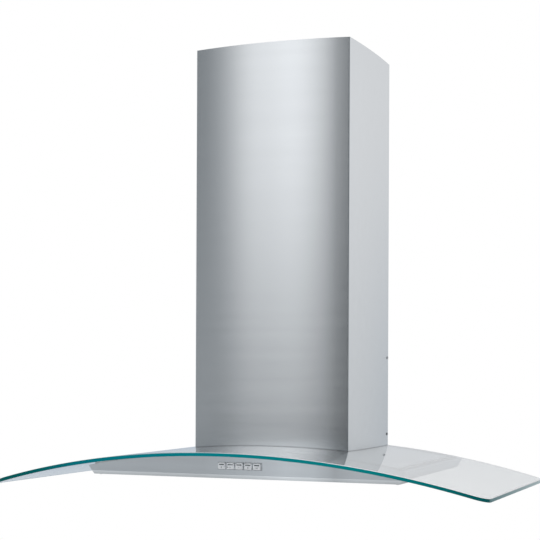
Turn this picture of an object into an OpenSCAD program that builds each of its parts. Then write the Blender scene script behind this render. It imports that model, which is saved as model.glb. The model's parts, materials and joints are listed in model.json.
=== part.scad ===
// Wall mount range hood: a bowed steel chimney on an arched glass canopy,
// a slim steel body with push buttons, lamps and tilting grease filters,
// and a centrifugal blower in a box frame inside the chimney.
// Millimetres. X runs to the right, Y runs into the wall and Z runs up.
// The wall is the plane Y = 0, and the origin is the middle of the four wall screws.

/* [Glass canopy] */
// Width of the glass
glass_w = 900; // [820:10:1000]
// Depth of the glass on its centre line
glass_d = 500; // [470:5:560]
// How far the front edge stands forward in its middle
glass_bow = 30; // [10:1:45]
// Thickness of the glass
glass_t = 6; // [5:0.5:8]
// Radius of the arch, measured to the top of the glass
arch_r = 1640; // [1500:10:2000]
// Radius of the two front corners of the glass
glass_corner_r = 28; // [12:1:40]
// Radius of the two back corners of the glass
glass_back_r = 6; // [3:1:10]
// Gap between the back edge of the glass and the wall
glass_wall_gap = 1; // [0.5:0.5:4]
// Thickness of the foam strip under the glass
gasket_t = 1.7; // [1:0.1:2.5]
// Width of the foam strip
gasket_w = 10; // [6:1:14]

/* [Steel body] */
// Width of the body along its lowest edge
body_w = 572; // [560:2:640]
// Depth of the body from the wall to its front face
body_d = 395; // [385:1:430]
// Height of the body in its middle, under the foam strip
body_h = 43; // [42:0.5:55]
// Lean of the end faces from upright, in degrees
end_lean = 33; // [15:1:40]
// Height of the turned-in strip along the lower front edge
hem_h = 6.5; // [4:0.5:9]
// How far that strip turns in at its foot
hem_in = 2.5; // [1:0.5:4]
// Thickness of the body sheet
body_sheet = 1; // [0.8:0.1:1.5]
// Width of the flange that turns in round the underside
flange_w = 15; // [12:1:18]
// Thickness of the underside panel
panel_t = 1; // [0.8:0.1:1.5]

/* [Chimney] */
// Width of the chimney at its corners
flue_w = 300; // [298:1:316]
// Depth of the chimney at its front corners
flue_d = 250; // [246:1:270]
// Height of the lower cover above the middle of the glass
flue_h = 735; // [700:5:900]
// How far the front bows forward in its middle
front_bow = 16; // [6:1:24]
// How far each side bows outward in its middle
side_bow = 3.5; // [1:0.5:6]
// Thickness of the chimney sheet
flue_sheet = 1; // [0.8:0.1:1.2]
// Outer radius of the two front bends
flue_bend_r = 2.5; // [1.5:0.5:4]
// Width of the doubled hem along the rear edges
flue_hem = 14; // [12:1:20]
// Gap between the rear edges and the wall
flue_wall_gap = 1; // [0.5:0.5:3]
// How far the upper cover, which slides inside the lower one, can be drawn up
upper_travel = 340; // [300:5:350]
// Clearance round the upper cover, inside the hems
slide_gap = 1; // [0.6:0.1:1.5]

/* [Wall frame] */
// Distance from the corners of the chimney in to the wall screws
wall_screw_in = 20; // [17:0.5:22]
// Distance between the wall screws, up and down
wall_pitch_z = 200; // [160:5:220]
// Height of the lower wall screws above the middle of the glass
wall_low = 60; // [40:5:80]
// Diameter of the wall screw holes
wall_hole = 8.5; // [6:0.5:10]
// Thickness of the frame sheet
frame_t = 1.5; // [1.2:0.1:2]
// Space at each side of the air box, out to the corners of the chimney
side_room = 36.5; // [35:0.5:38]
// Depth of the air box, outside
box_d = 215; // [214:1:218]
// Height of the air box above the middle of the glass
box_h = 265; // [262:1:275]
// Height of the wall panel above the middle of the glass
frame_h = 300; // [296:1:306]
// Width of the foot that the air box stands on
foot_w = 12; // [10:1:14]

/* [Blower] */
// Outer radius of the blower wheel
wheel_r = 75; // [70:1:75]
// Length of the blower wheel
wheel_l = 100; // [80:2:100]
// Number of blades
blades = 36; // [24:1:44]
// Depth of each blade from inner to outer edge
blade_depth = 12; // [8:1:14]
// Thickness of a blade
blade_t = 1; // [0.8:0.1:1.2]
// How far each blade leans forward, in degrees of turn
blade_sweep = 13; // [8:1:16]
// Radius of the scroll where it starts
scroll_start_r = 79; // [78:1:80]
// Radius of the scroll where it meets the outlet
scroll_end_r = 104; // [98:1:104]
// Wall of the scroll halves
scroll_wall = 2; // [1.5:0.5:2]
// Inner half length of the scroll
scroll_half = 60; // [56:1:62]
// Radius of the motor can
motor_r = 42; // [36:1:46]
// Radius of the motor shaft
shaft_r = 4; // [3:0.5:5]

/* [Outlet] */
// Outer diameter of the outlet collar
collar_dia = 150; // [140:1:150]
// Height of the outlet collar
collar_h = 50; // [40:1:52]
// Wall of the outlet collar
collar_wall = 1.6; // [1.2:0.1:2]
// Radius of the hinge pin of the damper flaps
damper_pin_r = 1.5; // [1.2:0.1:2]

/* [Push buttons] */
// Width of a button cap
button_w = 14; // [12:0.5:14.5]
// Height of a button cap
button_h = 11; // [9:0.5:12]
// Distance from one button to the next
button_pitch = 16.5; // [16:0.1:18]
// Middle of the buttons below the middle of the glass
button_drop = 28.5; // [26:0.5:30]
// How far a cap stands out of the front face
button_out = 4; // [3.5:0.5:6]
// How far a button travels
button_travel = 3; // [2:0.5:3]

/* [Grease filters] */
// Width of the strip of panel beside the filters
side_strip = 30; // [28:1:44]
// Gap between the filters and the lamps in front of them
lamp_back_gap = 2.5; // [1.5:0.5:12]
// Thickness of a filter
filter_t = 9; // [8:0.5:10]
// Distance from the wall to the back edge of the filters
filter_back = 40; // [34:1:44]
// Width of the bar between the two filters
middle_bar = 14; // [13:1:20]
// Pitch of the filter mesh
mesh_pitch = 20; // [16:1:30]
// Travel of a filter latch
latch_travel = 5; // [3:0.5:6]

/* [Lamps] */
// Distance from one lamp to the other
lamp_pitch = 410; // [380:2:440]
// Gap between the lamp's rim and the flange in front of it
lamp_gap = 1; // [0.5:0.5:2]
// Radius of the lamp's rim
lamp_rim_r = 32; // [30:0.5:33]

/* [Hidden] */

// Fineness of the large arcs, of ordinary round parts and of small ones
arch_fn = 256;
round_fn = 72;
small_fn = 32;
// Small gap between pieces that seat on each other, and the running clearance of pins
seat = 0.3;
run = 0.05;
// A little more than nothing, for cuts that pass right through
eps = 1;

// Widths that follow the chimney
wall_pitch_x = flue_w - 2 * wall_screw_in;
box_w = flue_w - 2 * side_room;

// Heights, from the arch down to the underside
glass_z = -(wall_pitch_z / 2 + wall_low);
arch_axis_z = glass_z - arch_r;
glass_under_r = arch_r - glass_t;
body_top_r = glass_under_r - gasket_t;
body_bottom = glass_z - glass_t - gasket_t - body_h;
panel_z = body_bottom + body_sheet;
box_top = glass_z + box_h;
frame_top = glass_z + frame_h;
flue_top = glass_z + flue_h;
upper_z = frame_top + seat;
upper_lap = 80;
upper_h = upper_travel + upper_lap;
bracket_z = upper_z + upper_h - 20;

// Plan of the chimney
front_r = (flue_w * flue_w / 4 + front_bow * front_bow) / (2 * front_bow);
front_cy = -(flue_d + front_bow) + front_r;
bend_steps = 4;
flue_mid_y = -(flue_d + flue_wall_gap) / 2;
side_half = (flue_d - flue_wall_gap) / 2;
side_r = (side_half * side_half + side_bow * side_bow) / (2 * side_bow);
upper_inset = 2 * flue_sheet + slide_gap;
bracket_half = flue_w / 2 - upper_inset - flue_sheet - 0.3;
bracket_t = 1.8;
bracket_half_h = 15;
bracket_leg = 36;
bracket_pitch = 200;
bracket_hole_r = 3;
bracket_screw_y = 25;
frame_half = flue_w / 2 - 2 * flue_sheet - 0.5;
screw_heights = [15, 163];
panel_screw_r = 1.4;
panel_screw_in = 7.5;
lid_screw_ys = [60, 160];
lid_screw_z = box_top - 7;
flue_screw_y = 9;
flue_screw_r = 1.9;

// Plan of the glass
glass_front_r = (glass_w * glass_w / 4 + glass_bow * glass_bow) / (2 * glass_bow);
notch_half = box_w / 2 + foot_w + 3;
notch_d = box_d + foot_w + 3;
glass_screw_x = notch_half + 10.5;
glass_screw_ys = [60, 190];
glass_screw_r = 2.5;
glass_hole_r = 5;
glass_collar_r = 7.5;
// The screw heads sit level, just over the highest glass under their collars
glass_collar_z = arch_height(glass_screw_x - glass_collar_r, arch_r) + 0.1;
glass_screw_seat = glass_collar_z + 1.2;
glass_nut_r = 4.6;
glass_nut_h = 4;
glass_nut_top = arch_height(glass_screw_x + glass_hole_r, body_top_r - body_sheet) - 0.1;

// Blower
fan_y = -(box_d - frame_t - scroll_end_r - 2 * scroll_wall - 0.5);
outlet_q = 150;
fan_z = box_top - outlet_q - seat;
tongue_a = 60;
tongue_wrap = 14;
outlet_near = 32;
outlet_hole_r = 62;
inlet_r = 60;
motor_back = -96;
motor_front = -14;
bracket_leg_r = 72;
collar_y = fan_y - (scroll_end_r - outlet_near) / 2 + 3;
collar_r = collar_dia / 2;
collar_flange_t = 2;
plate_top = box_top + frame_t;
pin_z = plate_top + 12.6;
flap_t = 1;
outlet_lip_w = 9;
outlet_lip_t = 4;
outlet_screw_r = 1.5;
outlet_screw_x = scroll_half + scroll_wall + 4;
outlet_screw_dy = sqrt(pow(collar_r + 3, 2) - pow(outlet_screw_x, 2));
outlet_head_h = 0.9;

// Terminal box, capacitor and lamp transformer
term_w = side_room - 8.5;
term_y = -180;
term_l = 80;
term_z = glass_z + 40;
term_h = 90;
term_wall = 2;
grommet_r = 4.5;
capacitor_r = term_w / 2;
capacitor_h = 55;
capacitor_y = -150;
capacitor_z = glass_z + 60;
transformer_size = [60, 54, 22];
transformer_at = [-158, -body_d + 11];

// Buttons
button_z = glass_z - button_drop;
front_y = -body_d;
bezel_back = front_y + 3;
cap_back = front_y + 6;
switch_front = cap_back + button_travel + 0.5;
bezel_half_x = 2 * button_pitch + button_w / 2 + 1.6;
bezel_half_z = button_h / 2 + 1;
switch_half_x = 2 * button_pitch + 11;
stem_half_x = 3;
stem_half_z = 2.5;

// Filters
filter_gap = 1;
filter_w = body_w / 2 - side_strip - middle_bar / 2 - filter_gap;
filter_l = body_d - hem_in - flange_w - lamp_gap - 2 * lamp_rim_r - lamp_back_gap - filter_back;
filter_x = middle_bar / 2 + filter_gap + filter_w / 2;
filter_front_y = -(filter_back + filter_l);
hinge_y = -(filter_back + 5);
hinge_z = panel_z + filter_t / 2;
hinge_pin_r = 2;
rail_w = 13;
front_rail_w = 36;
latch_w = 54;
latch_l = 18;
latch_edge = 5;

// Lamps
lamp_x = lamp_pitch / 2;
lamp_y = body_d - hem_in - flange_w - lamp_gap - lamp_rim_r;
lamp_hole_r = lamp_rim_r - 4;
lens_r = lamp_rim_r - 8;

// Height of an arch of radius r at x, and points along an arc
function arch_height(x, r) = arch_axis_z + sqrt(r * r - x * x);
function arc(cx, cy, r, a0, a1, n) =
    [for (i = [0:n]) let (a = a0 + (a1 - a0) * i / n) [cx + r * cos(a), cy + r * sin(a)]];

// A round bar that runs from front to back, used to make and to cut every arched piece
module barrel(r, y0, y1) {
    translate([0, y0, arch_axis_z])
        rotate([-90, 0, 0])
            cylinder(r = r, h = y1 - y0, $fn = arch_fn);
}

// A sheet that follows the arch between two radii, cut to a plan drawn as children
module arched_sheet(r_out, r_in) {
    rise = arch_r - sqrt(arch_r * arch_r - glass_w * glass_w / 4);
    difference() {
        intersection() {
            translate([0, 0, arch_height(glass_w / 2, r_in) - 10])
                linear_extrude(height = rise + glass_t + 40)
                    children();
            barrel(r_out, -glass_d - eps, 0);
        }
        barrel(r_in, -glass_d - 2 * eps, eps);
    }
}

// A cylinder along X, from x0 to x1
module bar_x(r, x0, x1, y, z, fn = 48) {
    translate([x0, y, z])
        rotate([0, 90, 0])
            cylinder(r = r, h = x1 - x0, $fn = fn);
}

// A box between two corners
module block(a, b) {
    translate(a)
        cube(b - a);
}

module mirrored(side) {
    if (side > 0) children();
    else mirror([1, 0, 0]) children();
}

// Front view of the body, inset by t: its end faces lean outward towards the top
function body_front_pts(t) =
    let (x0 = body_w / 2 - t / cos(end_lean) + t * tan(end_lean),
         z0 = body_bottom + t,
         rise = body_h + 10,
         x1 = x0 + rise * tan(end_lean))
    [[-x0, z0], [x0, z0], [x1, z0 + rise], [-x1, z0 + rise]];

// Side view of the body, inset by t: the lower front edge turns in
function body_side_pts(t) =
    [[-body_d + hem_in + t, body_bottom + t], [-t, body_bottom + t], [-t, body_bottom + body_h + 20],
     [-body_d + t, body_bottom + body_h + 20], [-body_d + t, body_bottom + hem_h]];

module body_form(t) {
    intersection() {
        barrel(body_top_r - t, -body_d - eps, eps);
        translate([0, eps, 0])
            rotate([90, 0, 0])
                linear_extrude(height = body_d + 2 * eps)
                    polygon(body_front_pts(t));
        translate([-glass_w / 2, 0, 0])
            rotate([90, 0, 90])
                linear_extrude(height = glass_w)
                    polygon(body_side_pts(t));
    }
}

// Folded steel body: arched top, leaning ends, turned-in hem and an underside flange
module body_shell() {
    opening_in = 7;
    opening_back = 8;
    color("silver")
        difference() {
            body_form(0);
            body_form(body_sheet);
            block([-body_w / 2 + flange_w, -body_d + hem_in + flange_w, body_bottom - eps],
                  [body_w / 2 - flange_w, -flange_w, panel_z + eps]);
            block([-box_w / 2 + opening_in, -box_d + opening_in, glass_z - body_h],
                  [box_w / 2 - opening_in, -opening_back, glass_z]);
            block([-bezel_half_x - 0.2, front_y - eps, button_z - bezel_half_z - 0.2],
                  [bezel_half_x + 0.2, front_y + body_sheet + eps, button_z + bezel_half_z + 0.2]);
            for (x = [-glass_screw_x, glass_screw_x], y = glass_screw_ys)
                translate([x, -y, glass_z - body_h])
                    cylinder(r = glass_screw_r + 0.3, h = body_h, $fn = small_fn);
            for (p = panel_screw_places())
                translate([p[0], p[1], body_bottom - eps])
                    cylinder(r = panel_screw_r + 0.3, h = body_sheet + 2 * eps, $fn = small_fn);
        }
}

function panel_screw_places() =
    [for (x = [-1, 1], y = [30, body_d / 2, body_d - 14]) [x * (body_w / 2 - panel_screw_in), -y]];

// Flat panel above the flange, with the filter openings, the lamp holes and the hinge ears
module underside_panel() {
    panel_in = 3;
    ear_t = 1.5;
    ear_x = filter_w / 2 + 1.4;
    ear_rise = 5.5;
    keeper_half = 20;
    keeper_t = 1;
    keeper_y = filter_front_y - 1.2;
    color("gainsboro")
        difference() {
            union() {
                block([-body_w / 2 + panel_in, -body_d + hem_in + panel_in, panel_z],
                      [body_w / 2 - panel_in, -body_sheet - 0.5, panel_z + panel_t]);
                for (side = [-1, 1], edge = [-1, 1])
                    translate([side * filter_x + edge * (ear_x + ear_t / 2), hinge_y, 0])
                        block([-ear_t / 2, -6, panel_z], [ear_t / 2, ear_rise, hinge_z + ear_rise]);
                for (side = [-1, 1])
                    block([side * filter_x - keeper_half, keeper_y - keeper_t, panel_z],
                          [side * filter_x + keeper_half, keeper_y, panel_z + filter_t]);
            }
            for (side = [-1, 1])
                translate([side * filter_x, 0, 0]) {
                    block([-filter_w / 2 - filter_gap, filter_front_y - filter_gap, panel_z - eps],
                          [filter_w / 2 + filter_gap, -filter_back + 1.5, panel_z + panel_t + 0.01]);
                    bar_x(hinge_pin_r + run, -filter_w / 2 - 4, filter_w / 2 + 4, hinge_y, hinge_z);
                }
            for (side = [-1, 1])
                translate([side * lamp_x, -lamp_y, panel_z - eps])
                    cylinder(r = lamp_hole_r, h = panel_t + 2 * eps, $fn = round_fn);
            for (p = panel_screw_places())
                translate([p[0], p[1], panel_z - eps])
                    cylinder(r = panel_screw_r + 0.1, h = panel_t + 2 * eps, $fn = small_fn);
        }
}

// Low round-headed screws that hold the panel to the flange
module panel_screws() {
    head_h = 1.4;
    color("silver")
        for (p = panel_screw_places())
            translate([p[0], p[1], body_bottom - head_h])
                union() {
                    cylinder(r1 = 2.2, r2 = 3, h = head_h, $fn = small_fn);
                    translate([0, 0, head_h])
                        cylinder(r = panel_screw_r, h = 5, $fn = small_fn);
                }
}

// Plan of the glass: straight back and sides, a bowed front and four rounded corners
function glass_pts() =
    let (w = glass_w / 2, c = glass_corner_r, b = glass_back_r,
         cy = -glass_d + glass_front_r,
         fy = cy - sqrt(pow(glass_front_r - c, 2) - pow(w - c, 2)),
         a = atan2(fy - cy, w - c))
    concat(arc(w - b, -glass_wall_gap - b, b, 90, 0, 5),
           arc(w - c, fy, c, 0, a, 10),
           arc(0, cy, glass_front_r, a, -180 - a, 48),
           arc(-w + c, fy, c, -180 - a, -180, 10),
           arc(-w + b, -glass_wall_gap - b, b, 180, 90, 5));

// The notch that lets the air box through, open at the wall, with two round inner corners
module glass_notch_plan() {
    corner = 10;
    translate([-notch_half, -notch_d + corner])
        square([2 * notch_half, notch_d]);
    translate([-notch_half + corner, -notch_d])
        square([2 * (notch_half - corner), corner + eps]);
    for (x = [-1, 1])
        translate([x * (notch_half - corner), -notch_d + corner])
            circle(r = corner, $fn = small_fn);
}

module glass_canopy() {
    color("paleturquoise", 0.6)
        difference() {
            arched_sheet(arch_r, glass_under_r) {
                difference() {
                    polygon(glass_pts());
                    glass_notch_plan();
                }
            }
            for (x = [-glass_screw_x, glass_screw_x], y = glass_screw_ys)
                translate([x, -y, glass_z - 30])
                    cylinder(r = glass_hole_r, h = 40, $fn = small_fn);
        }
}

// Foam strip: one ring along the edge of the body and one round the notch
module glass_gasket() {
    edge_x = body_w / 2;
    edge_y = body_d - 5;
    back = 3;
    pad_x = notch_half + 21;
    pad_y = notch_d + 15;
    color("dimgray")
        difference() {
            arched_sheet(glass_under_r, body_top_r) {
                difference() {
                    translate([-edge_x, -edge_y])
                        square([2 * edge_x, edge_y - back]);
                    translate([-edge_x + gasket_w, -edge_y + gasket_w])
                        square([2 * (edge_x - gasket_w), edge_y - back - 2 * gasket_w]);
                    translate([-notch_half, -notch_d])
                        square([2 * notch_half, notch_d + eps]);
                }
                difference() {
                    translate([-pad_x, -pad_y])
                        square([2 * pad_x, pad_y - back]);
                    translate([-notch_half - 1, -notch_d - 1])
                        square([2 * (notch_half + 1), notch_d + 1]);
                }
            }
            for (x = [-glass_screw_x, glass_screw_x], y = glass_screw_ys)
                translate([x, -y, glass_z - 40])
                    cylinder(r = glass_hole_r, h = 50, $fn = small_fn);
        }
}

// Rubber bushes that keep the screws off the glass
module glass_bushes() {
    tube_r = glass_hole_r - 0.3;
    tube_z = arch_height(glass_screw_x - tube_r, body_top_r) + 0.2;
    color("black")
        for (x = [-glass_screw_x, glass_screw_x], y = glass_screw_ys)
            translate([x, -y, 0])
                rotate_extrude($fn = 48)
                    polygon([[glass_screw_r + 0.2, tube_z], [tube_r, tube_z], [tube_r, glass_collar_z],
                             [glass_collar_r, glass_collar_z], [glass_collar_r, glass_screw_seat],
                             [glass_screw_r + 0.2, glass_screw_seat]]);
}

module glass_screws() {
    color("silver")
        for (x = [-glass_screw_x, glass_screw_x], y = glass_screw_ys)
            translate([x, -y, 0])
                union() {
                    translate([0, 0, glass_screw_seat])
                        cylinder(r1 = 5.5, r2 = 3.5, h = 3.2, $fn = small_fn);
                    translate([0, 0, glass_nut_top - 6])
                        cylinder(r = glass_screw_r, h = glass_screw_seat - glass_nut_top + 7, $fn = small_fn);
                }
}

module glass_nuts() {
    color("silver")
        for (x = [-glass_screw_x, glass_screw_x], y = glass_screw_ys)
            translate([x, -y, glass_nut_top - glass_nut_h])
                difference() {
                    cylinder(r = glass_nut_r, h = glass_nut_h, $fn = 6);
                    translate([0, 0, -eps])
                        cylinder(r = glass_screw_r + run, h = glass_nut_h + 2 * eps, $fn = small_fn);
                }
}

// Wall frame: a T-shaped wall panel, the air box, side flanges for the chimney and an arched foot
module chassis_frame() {
    half = box_w / 2;
    foot_z = glass_z - 20;
    wide_z = glass_z + 4;
    flange_d = 20;
    color("lightsteelblue")
        difference() {
            union() {
                rotate([90, 0, 0])
                    linear_extrude(height = frame_t)
                        polygon([[-half, foot_z], [half, foot_z], [half, wide_z],
                                 [frame_half, wide_z], [frame_half, frame_top], [-frame_half, frame_top],
                                 [-frame_half, wide_z], [-half, wide_z]]);
                for (s = [-1, 1]) {
                    block([s > 0 ? half - frame_t : -half, -box_d, foot_z],
                          [s > 0 ? half : -half + frame_t, -frame_t / 2, box_top]);
                    block([s > 0 ? frame_half - frame_t : -frame_half, -flange_d, wide_z],
                          [s > 0 ? frame_half : -frame_half + frame_t, -frame_t / 2, frame_top]);
                }
                block([-half, -box_d, foot_z], [half, -box_d + frame_t, box_top]);
                intersection() {
                    barrel(body_top_r + frame_t, -box_d - foot_w, 0);
                    difference() {
                        block([-half - foot_w, -box_d - foot_w, foot_z], [half + foot_w, 0, glass_z]);
                        block([-half + frame_t / 2, -box_d + frame_t / 2, foot_z - eps],
                              [half - frame_t / 2, -frame_t / 2, glass_z + eps]);
                    }
                }
            }
            barrel(body_top_r, -glass_d, eps);
            for (x = [-1, 1], z = [-1, 1])
                translate([x * wall_pitch_x / 2, eps, z * wall_pitch_z / 2])
                    rotate([90, 0, 0])
                        cylinder(r = wall_hole / 2, h = frame_t + 2 * eps, $fn = 48);
            for (h = screw_heights)
                bar_x(flue_screw_r + 0.1, -flue_w, flue_w, -flue_screw_y, glass_z + h, small_fn);
            for (y = lid_screw_ys)
                bar_x(2.1, -half - eps, half + eps, -y, lid_screw_z, small_fn);
        }
}

// Top of the air box, with the outlet hole and two lips that turn down inside the cheeks
module chassis_top_plate() {
    half = box_w / 2;
    lip = half - frame_t - 0.2;
    lip_h = 12;
    color("lightsteelblue")
        difference() {
            union() {
                block([-half, -box_d, box_top], [half, -frame_t - 0.2, plate_top]);
                for (s = [-1, 1])
                    block([s > 0 ? lip - frame_t : -lip, -box_d + frame_t + 2, box_top - lip_h],
                          [s > 0 ? lip : -lip + frame_t, -frame_t - 2, box_top + frame_t / 2]);
            }
            translate([0, collar_y, box_top - eps])
                cylinder(r = outlet_hole_r, h = frame_t + 2 * eps, $fn = round_fn);
            outlet_bores(outlet_screw_r + 0.1, box_top - eps, plate_top + eps);
            for (y = lid_screw_ys)
                bar_x(2, -half, half, -y, lid_screw_z, small_fn);
        }
}

module chassis_screws() {
    half = box_w / 2;
    color("silver")
        for (s = [-1, 1], y = lid_screw_ys)
            mirrored(s)
                union() {
                    bar_x(3.6, half, half + 2.2, -y, lid_screw_z, small_fn);
                    bar_x(1.9, half - 8, half + 1, -y, lid_screw_z, small_fn);
                }
}

// Middle of the right front bend, for a sheet inset by t that bends with an outer radius r
function bend_middle(t, r) =
    let (side_cx = flue_w / 2 + side_bow - side_r,
         v = [0, front_cy] - [side_cx, flue_mid_y],
         d = norm(v),
         r1 = side_r - t - r,
         r2 = front_r - t - r,
         a = (r1 * r1 - r2 * r2 + d * d) / (2 * d),
         h = sqrt(r1 * r1 - a * a))
    [side_cx, flue_mid_y] + a * v / d + h * [v[1], -v[0]] / d;

// Plan that takes the corner off at the right front bend, in bend_steps flats round its middle
module bend_clip(t, r) {
    m = bend_middle(t, r);
    a0 = atan2(m[1] - front_cy, m[0]);
    a1 = atan2(m[1] - flue_mid_y, m[0] - (flue_w / 2 + side_bow - side_r));
    step = (a1 - a0) / bend_steps;
    far = 2 * flue_w;
    first = a0 + step / 2;
    last = a1 - step / 2;
    polygon(concat([m + r * [cos(first), sin(first)] + far * [sin(first), -cos(first)]],
                   [for (k = [1:bend_steps - 1])
                       m + r / cos(step / 2) * [cos(a0 + k * step), sin(a0 + k * step)]],
                   [m + r * [cos(last), sin(last)] + far * [-sin(last), cos(last)],
                    [-2 * far, far], [-2 * far, -far]]));
}

// Plan of the chimney, inset by t: a bowed front and two bowed sides that meet in bends of radius r
module flue_plan(t, r) {
    side_cx = flue_w / 2 + side_bow - side_r;
    intersection() {
        translate([0, front_cy])
            circle(r = front_r - t, $fn = arch_fn);
        translate([side_cx, flue_mid_y])
            circle(r = side_r - t, $fn = arch_fn);
        translate([-side_cx, flue_mid_y])
            circle(r = side_r - t, $fn = arch_fn);
        bend_clip(t, r);
        mirror([1, 0])
            bend_clip(t, r);
    }
}

// Plan of one bent sheet of the chimney from inset t, cut off straight at the wall
module flue_sheet_plan(t) {
    difference() {
        flue_plan(t, flue_bend_r);
        flue_plan(t + flue_sheet, flue_bend_r - flue_sheet);
        translate([-flue_w, -flue_wall_gap])
            square([2 * flue_w, 2 * side_r]);
    }
}

// Doubled edges at the wall, where the sheet is folded back on its inner side
module flue_hem_plan() {
    intersection() {
        difference() {
            flue_plan(flue_sheet / 2, flue_bend_r);
            flue_plan(2 * flue_sheet, flue_bend_r);
        }
        translate([-flue_w, -flue_wall_gap - flue_hem])
            square([2 * flue_w, flue_hem]);
    }
}

// Outer chimney cover, cut at its foot to follow the glass
module chimney_lower_cover() {
    color("gainsboro")
        difference() {
            translate([0, 0, glass_z - 20])
                linear_extrude(height = flue_h + 20) {
                    flue_sheet_plan(0);
                    flue_hem_plan();
                }
            barrel(arch_r + seat, -glass_d, eps);
            for (h = screw_heights)
                bar_x(flue_screw_r + 0.2, -flue_w, flue_w, -flue_screw_y, glass_z + h, small_fn);
        }
}

// Inner chimney cover, drawn up to reach a ceiling and here fully retracted
module chimney_upper_cover() {
    color("silver")
        difference() {
            translate([0, 0, upper_z])
                linear_extrude(height = upper_h)
                    flue_sheet_plan(upper_inset);
            bar_x(1.7, -flue_w, flue_w, -bracket_screw_y, bracket_z, small_fn);
        }
}

// Round-headed screws through the hems into the wall frame
module chimney_screws() {
    head_x = flue_w / 2 + 0.75;
    color("dimgray")
        for (s = [-1, 1], h = screw_heights)
            mirrored(s)
                union() {
                    translate([head_x, -flue_screw_y, glass_z + h])
                        rotate([0, 90, 0])
                            cylinder(r1 = 3.6, r2 = 2.6, h = 1.6, $fn = small_fn);
                    bar_x(flue_screw_r, head_x - 10, head_x + 0.5, -flue_screw_y, glass_z + h, small_fn);
                }
}

// U-shaped bracket inside the top of the upper cover, screwed to the wall
module upper_bracket() {
    color("lightsteelblue")
        difference() {
            union() {
                block([-bracket_half, -bracket_t, bracket_z - bracket_half_h],
                      [bracket_half, 0, bracket_z + bracket_half_h]);
                for (s = [-1, 1])
                    block([s > 0 ? bracket_half - bracket_t : -bracket_half, -bracket_leg,
                           bracket_z - bracket_half_h],
                          [s > 0 ? bracket_half : -bracket_half + bracket_t, -bracket_t / 2,
                           bracket_z + bracket_half_h]);
            }
            for (x = [-1, 1])
                translate([x * bracket_pitch / 2, eps, bracket_z])
                    rotate([90, 0, 0])
                        cylinder(r = bracket_hole_r, h = bracket_t + 2 * eps, $fn = 48);
            bar_x(1.6, -flue_w, flue_w, -bracket_screw_y, bracket_z, small_fn);
        }
}

// Flat-headed screws that hold the upper cover to its bracket
module bracket_screws() {
    out = flue_w / 2 - upper_inset + 1.35;
    color("silver")
        for (s = [-1, 1])
            mirrored(s)
                union() {
                    bar_x(3.2, out, out + 0.9, -bracket_screw_y, bracket_z, small_fn);
                    bar_x(1.5, out - 6, out + 0.5, -bracket_screw_y, bracket_z, small_fn);
                }
}

// Outline of the scroll in its own plane: p runs away from the wall and q runs up.
// The radius grows from the tongue all the way round to the outlet.
function scroll_radius(a) =
    scroll_start_r + (scroll_end_r - scroll_start_r) * (a - tongue_a) / (360 - tongue_a);
function scroll_pts(grow, wrap, top) =
    concat([for (i = [0:30]) let (a = tongue_a + wrap + (360 - tongue_a - wrap) * i / 30)
                (scroll_radius(a) + grow) * [cos(a), sin(a)]],
           [[scroll_end_r + grow, top], [-outlet_near - grow, top]]);

// Stands a drawing of the scroll plane on its place, from x0 to x1
module fan_plane(x0, x1) {
    translate([x0, fan_y, fan_z])
        rotate([90, 0, 90])
            linear_extrude(height = x1 - x0)
                mirror([1, 0])
                    children();
}

// One half of the scroll: a round inlet in its side, a rim where the halves meet,
// and a lip beside the outlet that is screwed up against the lid
module blower_half(side) {
    wall_x = scroll_half + scroll_wall;
    mirrored(side)
        difference() {
            union() {
                fan_plane(0, wall_x)
                    polygon(scroll_pts(scroll_wall, tongue_wrap, outlet_q));
                fan_plane(0, scroll_wall)
                    polygon(scroll_pts(2 * scroll_wall, tongue_wrap + 3, outlet_q));
                fan_plane(scroll_half + scroll_wall / 2, wall_x + outlet_lip_w)
                    translate([-outlet_near - scroll_wall, outlet_q - outlet_lip_t])
                        square([scroll_end_r + outlet_near + 2 * scroll_wall, outlet_lip_t]);
                for (p = [-outlet_near - scroll_wall, scroll_end_r - scroll_wall])
                    fan_plane(wall_x - eps, wall_x + outlet_lip_w)
                        translate([p, outlet_q - 3 * outlet_lip_t])
                            square([2 * scroll_wall, 3 * outlet_lip_t]);
            }
            fan_plane(-eps, scroll_half)
                polygon(scroll_pts(0, 0, outlet_q + eps));
            bar_x(inlet_r + 2, scroll_half - eps, wall_x + eps, fan_y, fan_z, round_fn);
            outlet_bores(outlet_screw_r + run, box_top - seat - 2 * outlet_lip_t, box_top);
        }
}

// The four places round the collar where it is screwed down, at height z
module at_outlet_screws(z) {
    for (x = [-outlet_screw_x, outlet_screw_x], y = [-outlet_screw_dy, outlet_screw_dy])
        translate([x, collar_y + y, z])
            children();
}

// Bores for the outlet screws, from z0 up to z1
module outlet_bores(r, z0, z1) {
    at_outlet_screws(z0)
        cylinder(r = r, h = z1 - z0, $fn = small_fn);
}

// Screws that clamp the collar, the lid and the scroll together.
// Their heads lie flush in the flange, so that a duct goes all the way down over the collar.
module outlet_screws() {
    shank = 9;
    color("silver")
        at_outlet_screws(plate_top + collar_flange_t - outlet_head_h - shank)
            union() {
                cylinder(r = outlet_screw_r, h = shank, $fn = small_fn);
                translate([0, 0, shank])
                    cylinder(r1 = outlet_screw_r, r2 = outlet_screw_r + outlet_head_h,
                             h = outlet_head_h, $fn = small_fn);
            }
}

module blower_housing_left() {
    color("dimgray") blower_half(-1);
}

module blower_housing_right() {
    color("dimgray") blower_half(1);
}

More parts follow.
